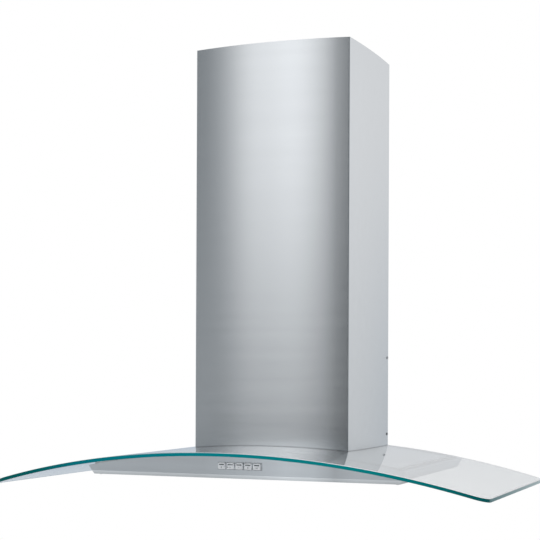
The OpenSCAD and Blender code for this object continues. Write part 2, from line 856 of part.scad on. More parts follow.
// Bell mouth that guides the air into the wheel
module inlet_ring(side) {
    mirrored(side)
        translate([scroll_half + scroll_wall, fan_y, fan_z])
            rotate([0, 90, 0])
                rotate_extrude($fn = round_fn)
                    polygon([[inlet_r, -7], [inlet_r + 1.6, -7], [inlet_r + 1.8, 0.2], [inlet_r + 7, 0.2],
                             [inlet_r + 7, 2.2], [inlet_r + 4, 2.2], [inlet_r, -1.8]]);
}

module inlet_ring_left() {
    color("darkgray") inlet_ring(-1);
}

module inlet_ring_right() {
    color("darkgray") inlet_ring(1);
}

// One forward-curved blade: it leans further forward towards its outer edge
function blade_pts() =
    let (r0 = wheel_r - 1 - blade_depth, steps = 5,
         edge = function (t, s) let (r = r0 + blade_depth * t,
                                     a = blade_sweep * t * t + s * blade_t / 2 / r * 180 / PI)
             [r * cos(a), r * sin(a)])
    concat([for (i = [0:steps]) edge(i / steps, -1)],
           [for (i = [steps:-1:0]) edge(i / steps, 1)]);

// Double inlet wheel: two end rings, a centre disc with a hub, and the blades between them
module impeller() {
    half = wheel_l / 2;
    ring_t = 2.5;
    ring_r = wheel_r - 1 - blade_depth - 1;
    disc_half = 0.8;
    hub_r = 13;
    color("lightgray")
        difference() {
            union() {
                for (x = [-half, half - ring_t])
                    bar_x(wheel_r, x, x + ring_t, fan_y, fan_z, round_fn);
                bar_x(wheel_r - 0.5, -disc_half, disc_half, fan_y, fan_z, round_fn);
                bar_x(hub_r, -9, 12, fan_y, fan_z, round_fn);
                for (i = [0:blades - 1])
                    fan_plane(-half + 1, half - 1)
                        rotate(i * 360 / blades)
                            polygon(blade_pts());
            }
            bar_x(ring_r, -half - eps, -10, fan_y, fan_z, round_fn);
            bar_x(ring_r, 13, half + eps, fan_y, fan_z, round_fn);
            bar_x(shaft_r + run, -20, 20, fan_y, fan_z);
        }
}

module motor_shaft() {
    color("silver")
        bar_x(shaft_r, motor_back + 8, 17, fan_y, fan_z);
}

// Motor can with two bearing bosses and cooling slots in its far end
module motor() {
    boss_r = 14;
    slot = [8, 6, 13];
    slot_in = 20;
    color("slategray")
        difference() {
            union() {
                bar_x(motor_r, motor_back + 6, motor_front - 6, fan_y, fan_z, round_fn);
                bar_x(motor_r - 3, motor_back + 3, motor_front - 3, fan_y, fan_z, round_fn);
                bar_x(boss_r, motor_back, motor_front, fan_y, fan_z, round_fn);
            }
            bar_x(shaft_r + run, motor_back + 6, motor_front + eps, fan_y, fan_z);
            for (a = [0:45:315])
                translate([motor_back, fan_y, fan_z])
                    rotate([a, 0, 0])
                        translate([-eps, -slot[1] / 2, slot_in])
                            cube(slot);
        }
}

// Three-armed bracket that carries the motor on the side of the scroll
module motor_bracket() {
    side_x = -(scroll_half + scroll_wall);
    arm_w = 16;
    arm_t = 2;
    window_r = 34;
    color("lightsteelblue")
        difference() {
            union() {
                bar_x(motor_r + 3, motor_back - arm_t, motor_back + 3, fan_y, fan_z, round_fn);
                for (a = [0, 120, 240])
                    translate([0, fan_y, fan_z])
                        rotate([a, 0, 0])
                            union() {
                                translate([motor_back - arm_t, -arm_w / 2, motor_r - 4])
                                    cube([arm_t, arm_w, bracket_leg_r - motor_r + 10]);
                                translate([motor_back - arm_t, -arm_w / 2, bracket_leg_r + 4])
                                    cube([side_x - motor_back + arm_t, arm_w, arm_t]);
                                translate([side_x - arm_t, -arm_w / 2, bracket_leg_r - 1])
                                    cube([arm_t, arm_w, 6]);
                            }
            }
            bar_x(motor_r - 2.7, motor_back, motor_back + 4, fan_y, fan_z, round_fn);
            bar_x(window_r, motor_back - arm_t - eps, motor_back + 4, fan_y, fan_z, round_fn);
        }
}

// Run capacitor with its clip, on the left cheek of the air box
module capacitor() {
    x = -box_w / 2 - capacitor_r - 1;
    color("white")
        union() {
            translate([x, capacitor_y, capacitor_z])
                cylinder(r = capacitor_r, h = capacitor_h, $fn = round_fn);
            translate([x, capacitor_y, capacitor_z + capacitor_h - eps])
                cylinder(r = 4, h = 6 + eps, $fn = small_fn);
            block([x + 8, capacitor_y - 8, capacitor_z + 20],
                  [-box_w / 2, capacitor_y + 8, capacitor_z + 30]);
        }
}

// Outlet collar with a flange, a stop ledge for the flaps and two holes for their pin
module outlet_collar() {
    inner_r = collar_r - collar_wall;
    flange_r = collar_r + 6;
    ledge_r = collar_r - 5;
    color("dimgray")
        difference() {
            translate([0, collar_y, plate_top])
                rotate_extrude($fn = round_fn)
                    polygon([[outlet_hole_r + 2, 0], [flange_r, 0], [flange_r, collar_flange_t],
                             [collar_r, collar_flange_t], [collar_r, collar_h], [inner_r, collar_h],
                             [inner_r, ledge_top()], [ledge_r, ledge_top()], [ledge_r, ledge_top() - 2],
                             [inner_r, ledge_top() - 3], [inner_r, collar_flange_t],
                             [outlet_hole_r + 2, collar_flange_t]]);
            outlet_bores(outlet_screw_r + 0.1, plate_top - eps, plate_top + collar_flange_t + eps);
            at_outlet_screws(plate_top + collar_flange_t - outlet_head_h)
                cylinder(r1 = outlet_screw_r + 0.1, r2 = outlet_screw_r + outlet_head_h + 0.3,
                         h = outlet_head_h + 0.2, $fn = small_fn);
            bar_x(damper_pin_r + run, -collar_r - 9, collar_r + 9, collar_y, pin_z, small_fn);
            for (s = [-1, 1])
                block([s > 0 ? 60 : -inner_r, collar_y - 5, plate_top + 4],
                      [s > 0 ? inner_r : -60, collar_y + 5, pin_z + 6]);
        }
}

function ledge_top() = pin_z - flap_t / 2 - seat - plate_top;

module damper_pin() {
    color("silver")
        bar_x(damper_pin_r, -collar_r + 0.2, collar_r - 0.2, collar_y, pin_z, small_fn);
}

// One half-round flap that swings up about the pin; each flap has its own knuckles
module damper_flap(dir, knuckles) {
    r = collar_r - collar_wall - 1.2;
    barrel_r = damper_pin_r + 1.4;
    knuckle = 7;
    translate([0, collar_y, pin_z])
        difference() {
            union() {
                intersection() {
                    translate([0, 0, -flap_t / 2])
                        cylinder(r = r, h = flap_t, $fn = round_fn);
                    translate([-r, dir > 0 ? barrel_r + seat : -r, -2])
                        cube([2 * r, r - barrel_r - seat, 4]);
                }
                for (k = knuckles, s = [-1, 1]) {
                    bar_x(barrel_r, s * k - knuckle, s * k + knuckle, 0, 0, small_fn);
                    translate([s * k - knuckle, dir > 0 ? 0 : -barrel_r - 2, -flap_t / 2])
                        cube([2 * knuckle, barrel_r + 2, flap_t]);
                }
            }
            bar_x(damper_pin_r + run, -r, r, 0, 0, small_fn);
        }
}

module damper_flap_front() {
    color("gray") damper_flap(-1, [56]);
}

module damper_flap_rear() {
    color("gray") damper_flap(1, [38]);
}

// Terminal box on the right cheek, open on its outer side, with a hole for the mains lead
module terminal_box() {
    x0 = box_w / 2;
    color("whitesmoke")
        difference() {
            block([x0, term_y, term_z], [x0 + term_w, term_y + term_l, term_z + term_h]);
            block([x0 + term_wall, term_y + term_wall, term_z + term_wall],
                  [x0 + term_w + eps, term_y + term_l - term_wall, term_z + term_h - term_wall]);
            translate([x0 + term_w / 2, term_y + term_l / 2, term_z + term_h - term_wall - eps])
                cylinder(r = grommet_r + 2, h = term_wall + 2 * eps, $fn = 48);
        }
}

module terminal_lid() {
    x0 = box_w / 2 + term_w;
    lip = term_wall + seat;
    rim = lip + 1.5;
    color("whitesmoke")
        union() {
            block([x0, term_y, term_z], [x0 + term_wall, term_y + term_l, term_z + term_h]);
            difference() {
                block([x0 - 3, term_y + lip, term_z + lip],
                      [x0 + 1, term_y + term_l - lip, term_z + term_h - lip]);
                block([x0 - 4, term_y + rim, term_z + rim],
                      [x0 + 0.5, term_y + term_l - rim, term_z + term_h - rim]);
            }
        }
}

// Round grommet that the mains lead enters through
module cable_grommet() {
    neck_r = grommet_r + 1.9;
    lip_r = grommet_r + 4;
    inside_z = -term_wall - 0.05;
    color("black")
        translate([box_w / 2 + term_w / 2, term_y + term_l / 2, term_z + term_h])
            rotate_extrude($fn = 48)
                polygon([[grommet_r, -4], [lip_r, -4], [lip_r, inside_z], [neck_r, inside_z],
                         [neck_r, 0.05], [lip_r, 0.05], [lip_r - 1, 3], [grommet_r, 3]]);
}

// Small transformer for the two lamps, on the underside panel
module lamp_transformer() {
    p = transformer_at;
    q = p + [transformer_size[0], transformer_size[1]];
    z = panel_z + panel_t;
    color("whitesmoke")
        union() {
            block([p[0], p[1], z], [q[0], q[1], z + transformer_size[2]]);
            block([p[0] - 8, p[1] + 20, z], [q[0] + 8, p[1] + 34, z + 3]);
        }
}

// Row of five switches, with a square pocket for each stem
module switch_block() {
    half_h = 8.5;
    length = 32;
    pocket_x = stem_half_x + 0.4;
    pocket_z = stem_half_z + 0.4;
    color("whitesmoke")
        difference() {
            block([-switch_half_x + seat, switch_front, button_z - half_h],
                  [switch_half_x - seat, switch_front + length, button_z + half_h]);
            for (i = [-2:2])
                block([i * button_pitch - pocket_x, switch_front - eps, button_z - pocket_z],
                      [i * button_pitch + pocket_x, switch_front + 14, button_z + pocket_z]);
        }
}

// Dark surround with five windows and two arms that hold the switch row
module button_bezel() {
    arm_t = 2;
    arm_half_z = 6;
    window_x = button_w / 2 + seat;
    window_z = button_h / 2 + seat;
    color("dimgray")
        difference() {
            union() {
                block([-bezel_half_x, front_y - 0.4, button_z - bezel_half_z],
                      [bezel_half_x, bezel_back, button_z + bezel_half_z]);
                block([-switch_half_x - arm_t, front_y + body_sheet, button_z - bezel_half_z - 3],
                      [switch_half_x + arm_t, bezel_back, button_z + bezel_half_z + 3]);
                for (x = [switch_half_x, -switch_half_x - arm_t])
                    block([x, front_y + body_sheet, button_z - arm_half_z],
                          [x + arm_t, switch_front + 26, button_z + arm_half_z]);
            }
            for (i = [-2:2])
                block([i * button_pitch - window_x, front_y - eps, button_z - window_z],
                      [i * button_pitch + window_x, bezel_back + eps, button_z + window_z]);
        }
}

// Front view of a cap: square below and with two round upper corners
function cap_pts(r) =
    let (w = button_w / 2, h = button_h / 2)
    concat([[-w, -h], [w, -h]], arc(w - r, h - r, r, 0, 90, 6), arc(-w + r, h - r, r, 90, 180, 6));

// Push button: a cap with a sloping upper edge and a groove, and a square stem behind it
module push_button(i) {
    out = front_y - button_out;
    groove_half = button_w / 2 - 2.2;
    groove_z = button_h / 2 - 3.6;
    translate([i * button_pitch, 0, button_z])
        difference() {
            union() {
                intersection() {
                    translate([0, cap_back, 0])
                        rotate([90, 0, 0])
                            linear_extrude(height = cap_back - out)
                                polygon(cap_pts(3));
                    translate([-button_w, 0, 0])
                        rotate([90, 0, 90])
                            linear_extrude(height = 2 * button_w)
                                polygon([[out, -button_h / 2 + 0.6], [out + 0.6, -button_h / 2],
                                         [cap_back, -button_h / 2], [cap_back, button_h / 2],
                                         [out + 2, button_h / 2], [out, button_h / 2 - 1.6]]);
                }
                block([-stem_half_x, cap_back - 0.5, -stem_half_z],
                      [stem_half_x, cap_back + 12, stem_half_z]);
            }
            block([-groove_half, out - eps, groove_z], [groove_half, out + 0.5, groove_z + 1.1]);
        }
}

module button_light() {
    color("lightgray") push_button(-2);
}

module button_off() {
    color("lightgray") push_button(-1);
}

module button_speed_1() {
    color("lightgray") push_button(0);
}

module button_speed_2() {
    color("lightgray") push_button(1);
}

module button_speed_3() {
    color("lightgray") push_button(2);
}

// Filter frame: a channel all round, a wide front rail with the latch slot, and two hinge pins
module filter_frame(side) {
    w = filter_w / 2;
    z0 = panel_z;
    z1 = panel_z + filter_t;
    y0 = filter_front_y;
    y1 = -filter_back;
    skin = 1;
    slot_x = latch_w / 2 + seat;
    slot_y0 = y0 + latch_edge - seat;
    slot_y1 = y0 + latch_edge + latch_l + latch_travel + seat;
    color("silver")
        translate([side * filter_x, 0, 0])
            difference() {
                union() {
                    block([-w, y0, z0], [w, y1, z1]);
                    bar_x(hinge_pin_r, -w - 3.4, w + 3.4, hinge_y, hinge_z);
                }
                difference() {
                    block([-w + skin, y0 + skin, z0 + skin], [w - skin, y1 - skin, z1 - skin]);
                    for (s = [-1, 1])
                        bar_x(hinge_pin_r + 1, s > 0 ? w - 4 : -w, s > 0 ? w : -w + 4, hinge_y, hinge_z);
                }
                block([-w + rail_w, y0 + front_rail_w, z0 - eps], [w - rail_w, y1 - rail_w, z1 + eps]);
                block([-slot_x, slot_y0, z0 - eps], [slot_x, slot_y1, z0 + 2]);
                block([-10, y0 - eps, z0 + 3.6], [10, y0 + 2, z0 + 6.4]);
            }
}

module filter_frame_left() {
    filter_frame(-1);
}

module filter_frame_right() {
    filter_frame(1);
}

// Crossed strips that stand for the layered mesh, inside the channel of the frame
module filter_mesh(side) {
    w = filter_w / 2 - 5.5;
    y0 = filter_front_y + front_rail_w - 3;
    y1 = -filter_back - 9;
    rim = 6;
    strip = 2;
    reach = (2 * w + y1 - y0) / sqrt(2);
    count = floor(reach / 2 / mesh_pitch);
    color("lightgray")
        translate([side * filter_x, (y0 + y1) / 2, panel_z + 1.3])
            linear_extrude(height = filter_t - 2.6)
                intersection() {
                    square([2 * w, y1 - y0], center = true);
                    union() {
                        difference() {
                            square([2 * w, y1 - y0], center = true);
                            square([2 * (w - rim), y1 - y0 - 2 * rim], center = true);
                        }
                        for (a = [45, -45], i = [-count:count])
                            rotate(a)
                                translate([i * mesh_pitch - strip / 2, -reach / 2])
                                    square([strip, reach]);
                    }
                }
}

module filter_mesh_left() {
    filter_mesh(-1);
}

module filter_mesh_right() {
    filter_mesh(1);
}

// Sliding latch: a dished finger pull and a tongue through the front of the frame
module filter_latch(side) {
    z0 = panel_z;
    y0 = filter_front_y + latch_edge;
    color("darkgray")
        translate([side * filter_x, 0, 0])
            difference() {
                union() {
                    block([-latch_w / 2, y0, z0], [latch_w / 2, y0 + latch_l, z0 + filter_t - 1.3]);
                    block([-9.4, filter_front_y - 0.6, z0 + 4.2], [9.4, y0 + 1, z0 + 5.8]);
                }
                block([-latch_w / 2 + 6, y0 + 3, z0 - eps], [latch_w / 2 - 6, y0 + latch_l - 3, z0 + 6]);
            }
}

module filter_latch_left() {
    filter_latch(-1);
}

module filter_latch_right() {
    filter_latch(1);
}

// Puts a piece on the left or right lamp, measured up from the face of the panel
module at_lamp(side) {
    translate([side * lamp_x, -lamp_y, panel_z])
        children();
}

// Rim with a rolled outer edge, a seat for the lens and a short sleeve through the panel
module lamp_bezel(side) {
    color("silver")
        at_lamp(side)
            rotate_extrude($fn = round_fn)
                polygon([[lens_r - 1.5, -1.6], [lamp_rim_r - 1, -1.6], [lamp_rim_r, -0.9], [lamp_rim_r, 0],
                         [lamp_hole_r - 0.3, 0], [lamp_hole_r - 0.3, 9], [lamp_hole_r - 1.5, 9],
                         [lamp_hole_r - 1.5, 0.5], [lens_r - 1.5, 0.5]]);
}

module lamp_bezel_left() {
    lamp_bezel(-1);
}

module lamp_bezel_right() {
    lamp_bezel(1);
}

module lamp_lens(side) {
    color("aliceblue")
        at_lamp(side)
            translate([0, 0, 0.5])
                cylinder(r = lens_r + 0.5, h = 2.5, $fn = round_fn);
}

module lamp_lens_left() {
    lamp_lens(-1);
}

module lamp_lens_right() {
    lamp_lens(1);
}

// Bowl behind the lens, with a socket neck on top
module lamp_reflector(side) {
    r = lamp_hole_r - 1.9;
    color("white")
        at_lamp(side)
            translate([0, 0, 3])
                rotate_extrude($fn = round_fn)
                    polygon([[r - 1, 0], [r, 0], [r, 6], [12, 15], [12, 20], [4, 20], [4, 18], [7, 18],
                             [7, 14], [11, 14], [r - 1, 5.3]]);
}

module lamp_reflector_left() {
    lamp_reflector(-1);
}

module lamp_reflector_right() {
    lamp_reflector(1);
}

// Capsule bulb with its pinch held in the socket neck
module lamp_bulb(side) {
    color("lightyellow")
        at_lamp(side)
            translate([0, 0, 10])
                rotate_extrude($fn = small_fn)
                    polygon(concat([[0, 12], [3.7, 12], [3.7, 6.8], [4.6, 6]],
                                   arc(0, 2.6, 4.6, 0, -90, 6)));
}

module lamp_bulb_left() {
    lamp_bulb(-1);
}

module lamp_bulb_right() {
    lamp_bulb(1);
}

body_shell();
underside_panel();
panel_screws();
glass_canopy();
glass_gasket();
glass_bushes();
glass_screws();
glass_nuts();
chassis_frame();
chassis_top_plate();
chassis_screws();
chimney_lower_cover();
chimney_screws();
chimney_upper_cover();
upper_bracket();
bracket_screws();
blower_housing_left();
blower_housing_right();
inlet_ring_left();
inlet_ring_right();
impeller();
motor_shaft();
motor();
motor_bracket();
capacitor();
outlet_collar();
outlet_screws();
damper_pin();
damper_flap_front();
damper_flap_rear();
terminal_box();
terminal_lid();
cable_grommet();
lamp_transformer();
switch_block();
button_bezel();
button_light();
button_off();
button_speed_1();
button_speed_2();
button_speed_3();
filter_frame_left();
filter_frame_right();
filter_mesh_left();
filter_mesh_right();
filter_latch_left();
filter_latch_right();
lamp_bezel_left();
lamp_bezel_right();
lamp_lens_left();
lamp_lens_right();
lamp_reflector_left();
lamp_reflector_right();
lamp_bulb_left();
lamp_bulb_right();
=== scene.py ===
# %% [markdown]
# # A wall mount range hood
# This file dresses a finished construction model of a range hood: a bowed steel chimney that stands on
# an arched sheet of glass, with a slim steel body under it. Every step first says what a piece or a
# finish is on the real hood and how it could be made, and then makes it.
# The construction model is the frame. It isn't moved or reshaped here. It only gets finishes, and a few
# of its pieces are replaced by finer ones in the same place.

# %% Load the frame
import bpy
import bmesh
import json
import math
from mathutils import Matrix, Vector


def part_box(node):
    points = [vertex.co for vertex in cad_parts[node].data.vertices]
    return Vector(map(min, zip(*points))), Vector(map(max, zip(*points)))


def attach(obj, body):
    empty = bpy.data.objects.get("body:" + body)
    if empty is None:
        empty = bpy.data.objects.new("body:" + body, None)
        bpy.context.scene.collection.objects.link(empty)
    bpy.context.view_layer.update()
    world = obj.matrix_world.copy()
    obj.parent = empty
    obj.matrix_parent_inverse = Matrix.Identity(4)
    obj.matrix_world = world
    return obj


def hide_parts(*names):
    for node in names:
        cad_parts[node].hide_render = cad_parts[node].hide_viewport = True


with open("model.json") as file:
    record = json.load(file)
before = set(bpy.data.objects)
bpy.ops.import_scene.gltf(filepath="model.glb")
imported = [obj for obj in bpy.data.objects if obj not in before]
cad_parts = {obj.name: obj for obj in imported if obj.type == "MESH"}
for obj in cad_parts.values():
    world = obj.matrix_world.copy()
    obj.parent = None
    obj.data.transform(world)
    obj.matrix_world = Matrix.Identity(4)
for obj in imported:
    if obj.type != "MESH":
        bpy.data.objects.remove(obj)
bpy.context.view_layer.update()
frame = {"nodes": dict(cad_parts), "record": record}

nodes = frame["nodes"]

# %% [markdown]
# A finish is a small network of nodes that ends in one Principled shader. Writing each link by hand
# makes long cells, so two helpers come first: one starts an empty finish, and one adds a node, sets its
# properties and joins its inputs in a single line.

# %% Start a finish
def start_finish(name, colour=(0.8, 0.8, 0.8), metallic=0.0, roughness=0.5):
    finish = bpy.data.materials.new(name)
    finish.use_nodes = True
    tree = finish.node_tree
    tree.nodes.clear()
    shader = tree.nodes.new("ShaderNodeBsdfPrincipled")
    shader.inputs["Base Color"].default_value = (*colour, 1)
    shader.inputs["Metallic"].default_value = metallic
    shader.inputs["Roughness"].default_value = roughness
    output = tree.nodes.new("ShaderNodeOutputMaterial")
    tree.links.new(shader.outputs[0], output.inputs["Surface"])
    return finish, tree, shader


def add(tree, kind, inputs=None, **settings):
    node = tree.nodes.new("ShaderNode" + kind)
    for key, value in settings.items():
        setattr(node, key, value)
    for key, value in (inputs or {}).items():
        if isinstance(value, bpy.types.NodeSocket):
            tree.links.new(value, node.inputs[key])
        else:
            node.inputs[key].default_value = value
    return node


print("helpers: start_finish, add")

# %% [markdown]
# Real surfaces are never one flat colour. Most finishes here use the same few moves: a noise that is
# stretched to the size of the real grain, and that blends two colours, spreads the roughness and raises a
# small relief. The noise lives in the piece's own coordinates, so it moves with the piece.

# %% Patterns and relief
def rescale(tree, value, start, end, first=0.0, last=1.0, **settings):
    """Turns values from start to end into values from first to last, and stops at both ends."""
    return add(tree, "MapRange", {"Value": value, "From Min": start, "From Max": end,
                                  "To Min": first, "To Max": last}, **settings).outputs["Result"]


def between(tree, factor, low, high):
    """Spreads a 0 to 1 pattern over the range from low to high."""
    return rescale(tree, factor, 0.0, 1.0, low, high)


def tint(tree, factor, dark, light):
    """Blends two colours by a 0 to 1 pattern."""
    mix = add(tree, "Mix", {"Factor": factor}, data_type="RGBA")
    mix.inputs["A"].default_value = (*dark, 1)
    mix.inputs["B"].default_value = (*light, 1)
    return mix.outputs["Result"]


def dimmed(tree, tone, share):
    """Multiplies a colour by a share."""
    return add(tree, "VectorMath", {0: tone, "Scale": share}, operation="SCALE").outputs[0]


def dyed(tree, tone, cast):
    """Multiplies one colour by another."""
    return add(tree, "Mix", {"Factor": 1.0, "A": tone, "B": cast}, data_type="RGBA",
               blend_type="MULTIPLY").outputs["Result"]


def grain(tree, stretch, detail=2.0, rough=0.5):
    """A noise on the piece's own coordinates. Stretch is the cells in a metre of X, Y and Z."""
    place = add(tree, "TexCoord").outputs["Object"]
    scaled = add(tree, "Mapping", {"Vector": place, "Scale": stretch}).outputs["Vector"]
    noise = add(tree, "TexNoise", {"Vector": scaled, "Scale": 1.0, "Detail": detail, "Roughness": rough})
    return noise.outputs["Fac"]


def bump(tree, shader, height, depth, strength=1.0):
    """Raises the surface by depth metres where the pattern is high."""
    bumped = add(tree, "Bump", {"Height": height, "Distance": depth, "Strength": strength})
    tree.links.new(bumped.outputs["Normal"], shader.inputs["Normal"])


print("patterns ready")

# %% [markdown]
# Some finishes change slowly from one end of a piece to the other, such as the edge of the glass. One
# coordinate is turned into a share from 0 to 1, and the share picks from a row of colours. A slow noise
# can be added, so that no straight border shows.

# %% Colours along the piece
def share_along(tree, axis, start, end, first=0.0, last=1.0):
    """A share that changes from first to last between two places on one axis of the piece."""
    place = add(tree, "TexCoord").outputs["Object"]
    way = add(tree, "SeparateXYZ", {"Vector": place}).outputs[axis]
    return rescale(tree, way, start, end, first, last)


def colour_row(tree, share, stops, blend="LINEAR"):
    """Colours that follow each other as a share goes from 0 to 1."""
    ramp = add(tree, "ValToRGB", {"Fac": share})
    ramp.color_ramp.interpolation = blend
    elements = ramp.color_ramp.elements
    while len(elements) < len(stops):
        elements.new(0.5)
    for element, (position, colour) in zip(elements, stops):
        element.position = position
        element.color = (*colour, 1)
    return ramp.outputs["Color"]


def ramp_along(tree, axis, low, high, stops, blur=0.0):
    """Colours set out along one axis of the piece. Blur moves them to and fro by a slow noise."""
    share = share_along(tree, axis, low, high)
    patch = grain(tree, (14.0, 14.0, 14.0), 2.0)
    uneven = add(tree, "Math", {0: patch, 1: blur, 2: share}, operation="MULTIPLY_ADD").outputs[0]
    return colour_row(tree, uneven, [((place - low) / (high - low), colour) for place, colour in stops])


print("colours can run along X, Y or Z")

# %% [markdown]
# The chimney stands on the arched glass, and a thin line of painted shadow darkens the steel where its foot
# meets the seal. The glass is part of a large cylinder, so the distance from the axis of that cylinder
# tells how far above the glass a point of the steel is. The same arc shapes the sheet of glass further on.

# %% Painted shadow at the chimney's foot
ARCH_R = 1.640
ARCH_AXIS_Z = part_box("glass_canopy")[1].z - ARCH_R
FOOT_SHADOW_START, FOOT_SHADOW_END, FOOT_SHADOW_SHARE = 0.0008, 0.0022, 0.68


def foot_shadow_line(tree):
    """A share that drops in the last millimetre or so above the arched glass: a painted shadow at the
    chimney's foot.
    """
    place = add(tree, "TexCoord").outputs["Object"]
    centred = add(tree, "VectorMath", {0: place, 1: (0, 0, ARCH_AXIS_Z)}, operation="SUBTRACT").outputs[0]
    flat = add(tree, "VectorMath", {0: centred, 1: (1, 0, 1)}, operation="MULTIPLY").outputs[0]
    radius = add(tree, "VectorMath", {0: flat}, operation="LENGTH").outputs["Value"]
    return rescale(tree, radius, ARCH_R + FOOT_SHADOW_START, ARCH_R + FOOT_SHADOW_END, FOOT_SHADOW_SHARE)


print(f"the arch has its axis {-ARCH_AXIS_Z:.3f} m below the origin")

# %% [markdown]
# Brushed stainless steel is what the whole hood is seen in. A belt runs along the sheet before it is
# folded and leaves very fine parallel scratches. They blur a reflection across the grain and leave it
# sharp along it, which is what anisotropy does in the shader. A little uneven pressure of the belt
# shows as faint streaks, so the roughness and the tone follow the same stretched noise.

# %% Brushed steel
def belt_marks(tree):
    """Hair-fine scratches along X, and the same with broad streaks added."""
    hair = grain(tree, (14.0, 1400.0, 1400.0), 3.0, 0.6)
    streak = grain(tree, (1.5, 70.0, 70.0), 2.0, 0.5)
    both = add(tree, "Math", {0: hair, 1: streak}, operation="ADD").outputs[0]
    return hair, add(tree, "Math", {0: both, 1: 0.5}, operation="MULTIPLY").outputs[0]


def brushed_steel(name, colour, roughness, anisotropy, tangent_axis, turn, shade):
    """Steel with its scratches. Shade is a function that alters the tone over the whole piece."""
    finish, tree, shader = start_finish(name, colour, 1.0, roughness)
    hair, marks = belt_marks(tree)
    dark = [c * 0.94 for c in colour]
    light = [min(1.0, c * 1.05) for c in colour]
    tone = shade(tree, tint(tree, marks, dark, light))
    tree.links.new(tone, shader.inputs["Base Color"])
    tree.links.new(between(tree, marks, roughness - 0.05, roughness + 0.05), shader.inputs["Roughness"])
    shader.inputs["Anisotropic"].default_value = anisotropy
    shader.inputs["Anisotropic Rotation"].default_value = turn
    tangent = add(tree, "Tangent", direction_type="RADIAL", axis=tangent_axis)
    tree.links.new(tangent.outputs[0], shader.inputs["Tangent"])
    bump(tree, shader, hair, 0.00001, 0.35)
    return finish


def chimney_shade(tree, tone):
    # Painted shadow: the tone darkens just above the glass, at the chimney's foot.
    return dimmed(tree, tone, foot_shadow_line(tree))


chimney_steel = brushed_steel("chimney_steel", (0.655, 0.68, 0.695), 0.25, 0.65, "Z", 0.25, chimney_shade)
print("finish:", chimney_steel.name)

# %% [markdown]
# On the slim body the tone also rises and falls slowly from end to end, in broad lighter and darker clouds.
# Its turned-in lower strip has painted shade: the tone falls over the last eight millimetres towards its
# edge.

# %% Steel of the slim body
BODY_CLOUDS = [(-0.32, 0.83), (-0.26, 0.81), (-0.18, 0.76), (-0.06, 0.73), (0.03, 0.84), (0.09, 1.0),
               (0.14, 0.93), (0.18, 0.70), (0.22, 0.80), (0.32, 0.71)]
BODY_FOOT_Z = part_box("body_shell")[0].z
STRIP_SHADE_H, STRIP_SHADE_SHARE = 0.008, 0.72


def body_shade(tree, tone):
    stops = [(x, (share, share, share)) for x, share in BODY_CLOUDS]
    cloud = ramp_along(tree, "X", BODY_CLOUDS[0][0], BODY_CLOUDS[-1][0], stops, 0.02)
    # Painted shade: the lower strip darkens towards its edge.
    strip = share_along(tree, "Z", BODY_FOOT_Z, BODY_FOOT_Z + STRIP_SHADE_H, STRIP_SHADE_SHARE)
    return dimmed(tree, dyed(tree, tone, cloud), strip)


body_steel = brushed_steel("body_steel", (0.81, 0.865, 0.905), 0.3, 0.55, "X", 0.0, body_shade)
print("finish:", body_steel.name, "with", len(BODY_CLOUDS), "steps from end to end")

# %% [markdown]
# Zinc-coated sheet is what the hidden frame and brackets are made of. Its skin freezes in flat
# crystals of slightly different brightness, the spangle. Voronoi cells give each crystal one tone.

# %% Zinc sheet
def zinc_sheet():
    finish, tree, shader = start_finish("zinc_sheet", (0.58, 0.60, 0.62), 0.85, 0.42)
    place = add(tree, "TexCoord").outputs["Object"]
    warp = add(tree, "TexNoise", {"Vector": place, "Scale": 60.0, "Detail": 2.0})
    shifted = add(tree, "MixRGB", {"Fac": 0.02, "Color1": place, "Color2": warp.outputs["Color"]})
    cells = add(tree, "TexVoronoi", {"Vector": shifted.outputs[0], "Scale": 140.0})
    tone = add(tree, "SeparateColor", {"Color": cells.outputs["Color"]}).outputs[0]
    tree.links.new(tint(tree, tone, (0.50, 0.52, 0.54), (0.66, 0.68, 0.70)), shader.inputs["Base Color"])
    tree.links.new(between(tree, tone, 0.34, 0.5), shader.inputs["Roughness"])
    return finish


zinc = zinc_sheet()
print("finish:", zinc.name)

# %% [markdown]
# Screws, nuts and the motor's shaft are turned and then plated. The tool leaves fine marks, and the
# plating is a little duller in places.

# %% Plated steel
def plated_steel(name, colour, roughness):
    finish, tree, shader = start_finish(name, colour, 1.0, roughness)
    marks = grain(tree, (900.0, 900.0, 900.0), 4.0, 0.7)
    dull = grain(tree, (60.0, 60.0, 60.0), 2.0)
    dark = [c * 0.88 for c in colour]
    tree.links.new(tint(tree, dull, dark, colour), shader.inputs["Base Color"])
    tree.links.new(between(tree, marks, roughness - 0.08, roughness + 0.1), shader.inputs["Roughness"])
    bump(tree, shader, marks, 0.00002, 0.3)
    return finish


fastener_steel = plated_steel("fastener_steel", (0.60, 0.60, 0.62), 0.28)
screw_dark = plated_steel("screw_dark", (0.78, 0.79, 0.81), 0.6)
print("finishes:", fastener_steel.name, screw_dark.name)

# %% [markdown]
# Plastics and rubber are moulded, and the mould leaves a fine even texture. One function makes them
# all: a small noise moves the roughness and the surface by a few hundredths of a millimetre, and a
# slower one keeps large faces from looking like flat paint.

# %% Moulded plastic, rubber and enamel
def moulded(name, colour, roughness, depth=0.00003, cell=1800.0, sheen=0.5):
    finish, tree, shader = start_finish(name, colour, 0.0, roughness)
    shader.inputs["Specular IOR Level"].default_value = sheen
    fine = grain(tree, (cell, cell, cell), 2.0, 0.6)
    slow = grain(tree, (25.0, 25.0, 25.0), 2.0)
    dark = [c * 0.9 for c in colour]
    light = [min(1.0, c * 1.08) for c in colour]
    tree.links.new(tint(tree, slow, dark, light), shader.inputs["Base Color"])
    tree.links.new(between(tree, fine, roughness - 0.07, roughness + 0.07), shader.inputs["Roughness"])
    bump(tree, shader, fine, depth, 0.5)
    return finish


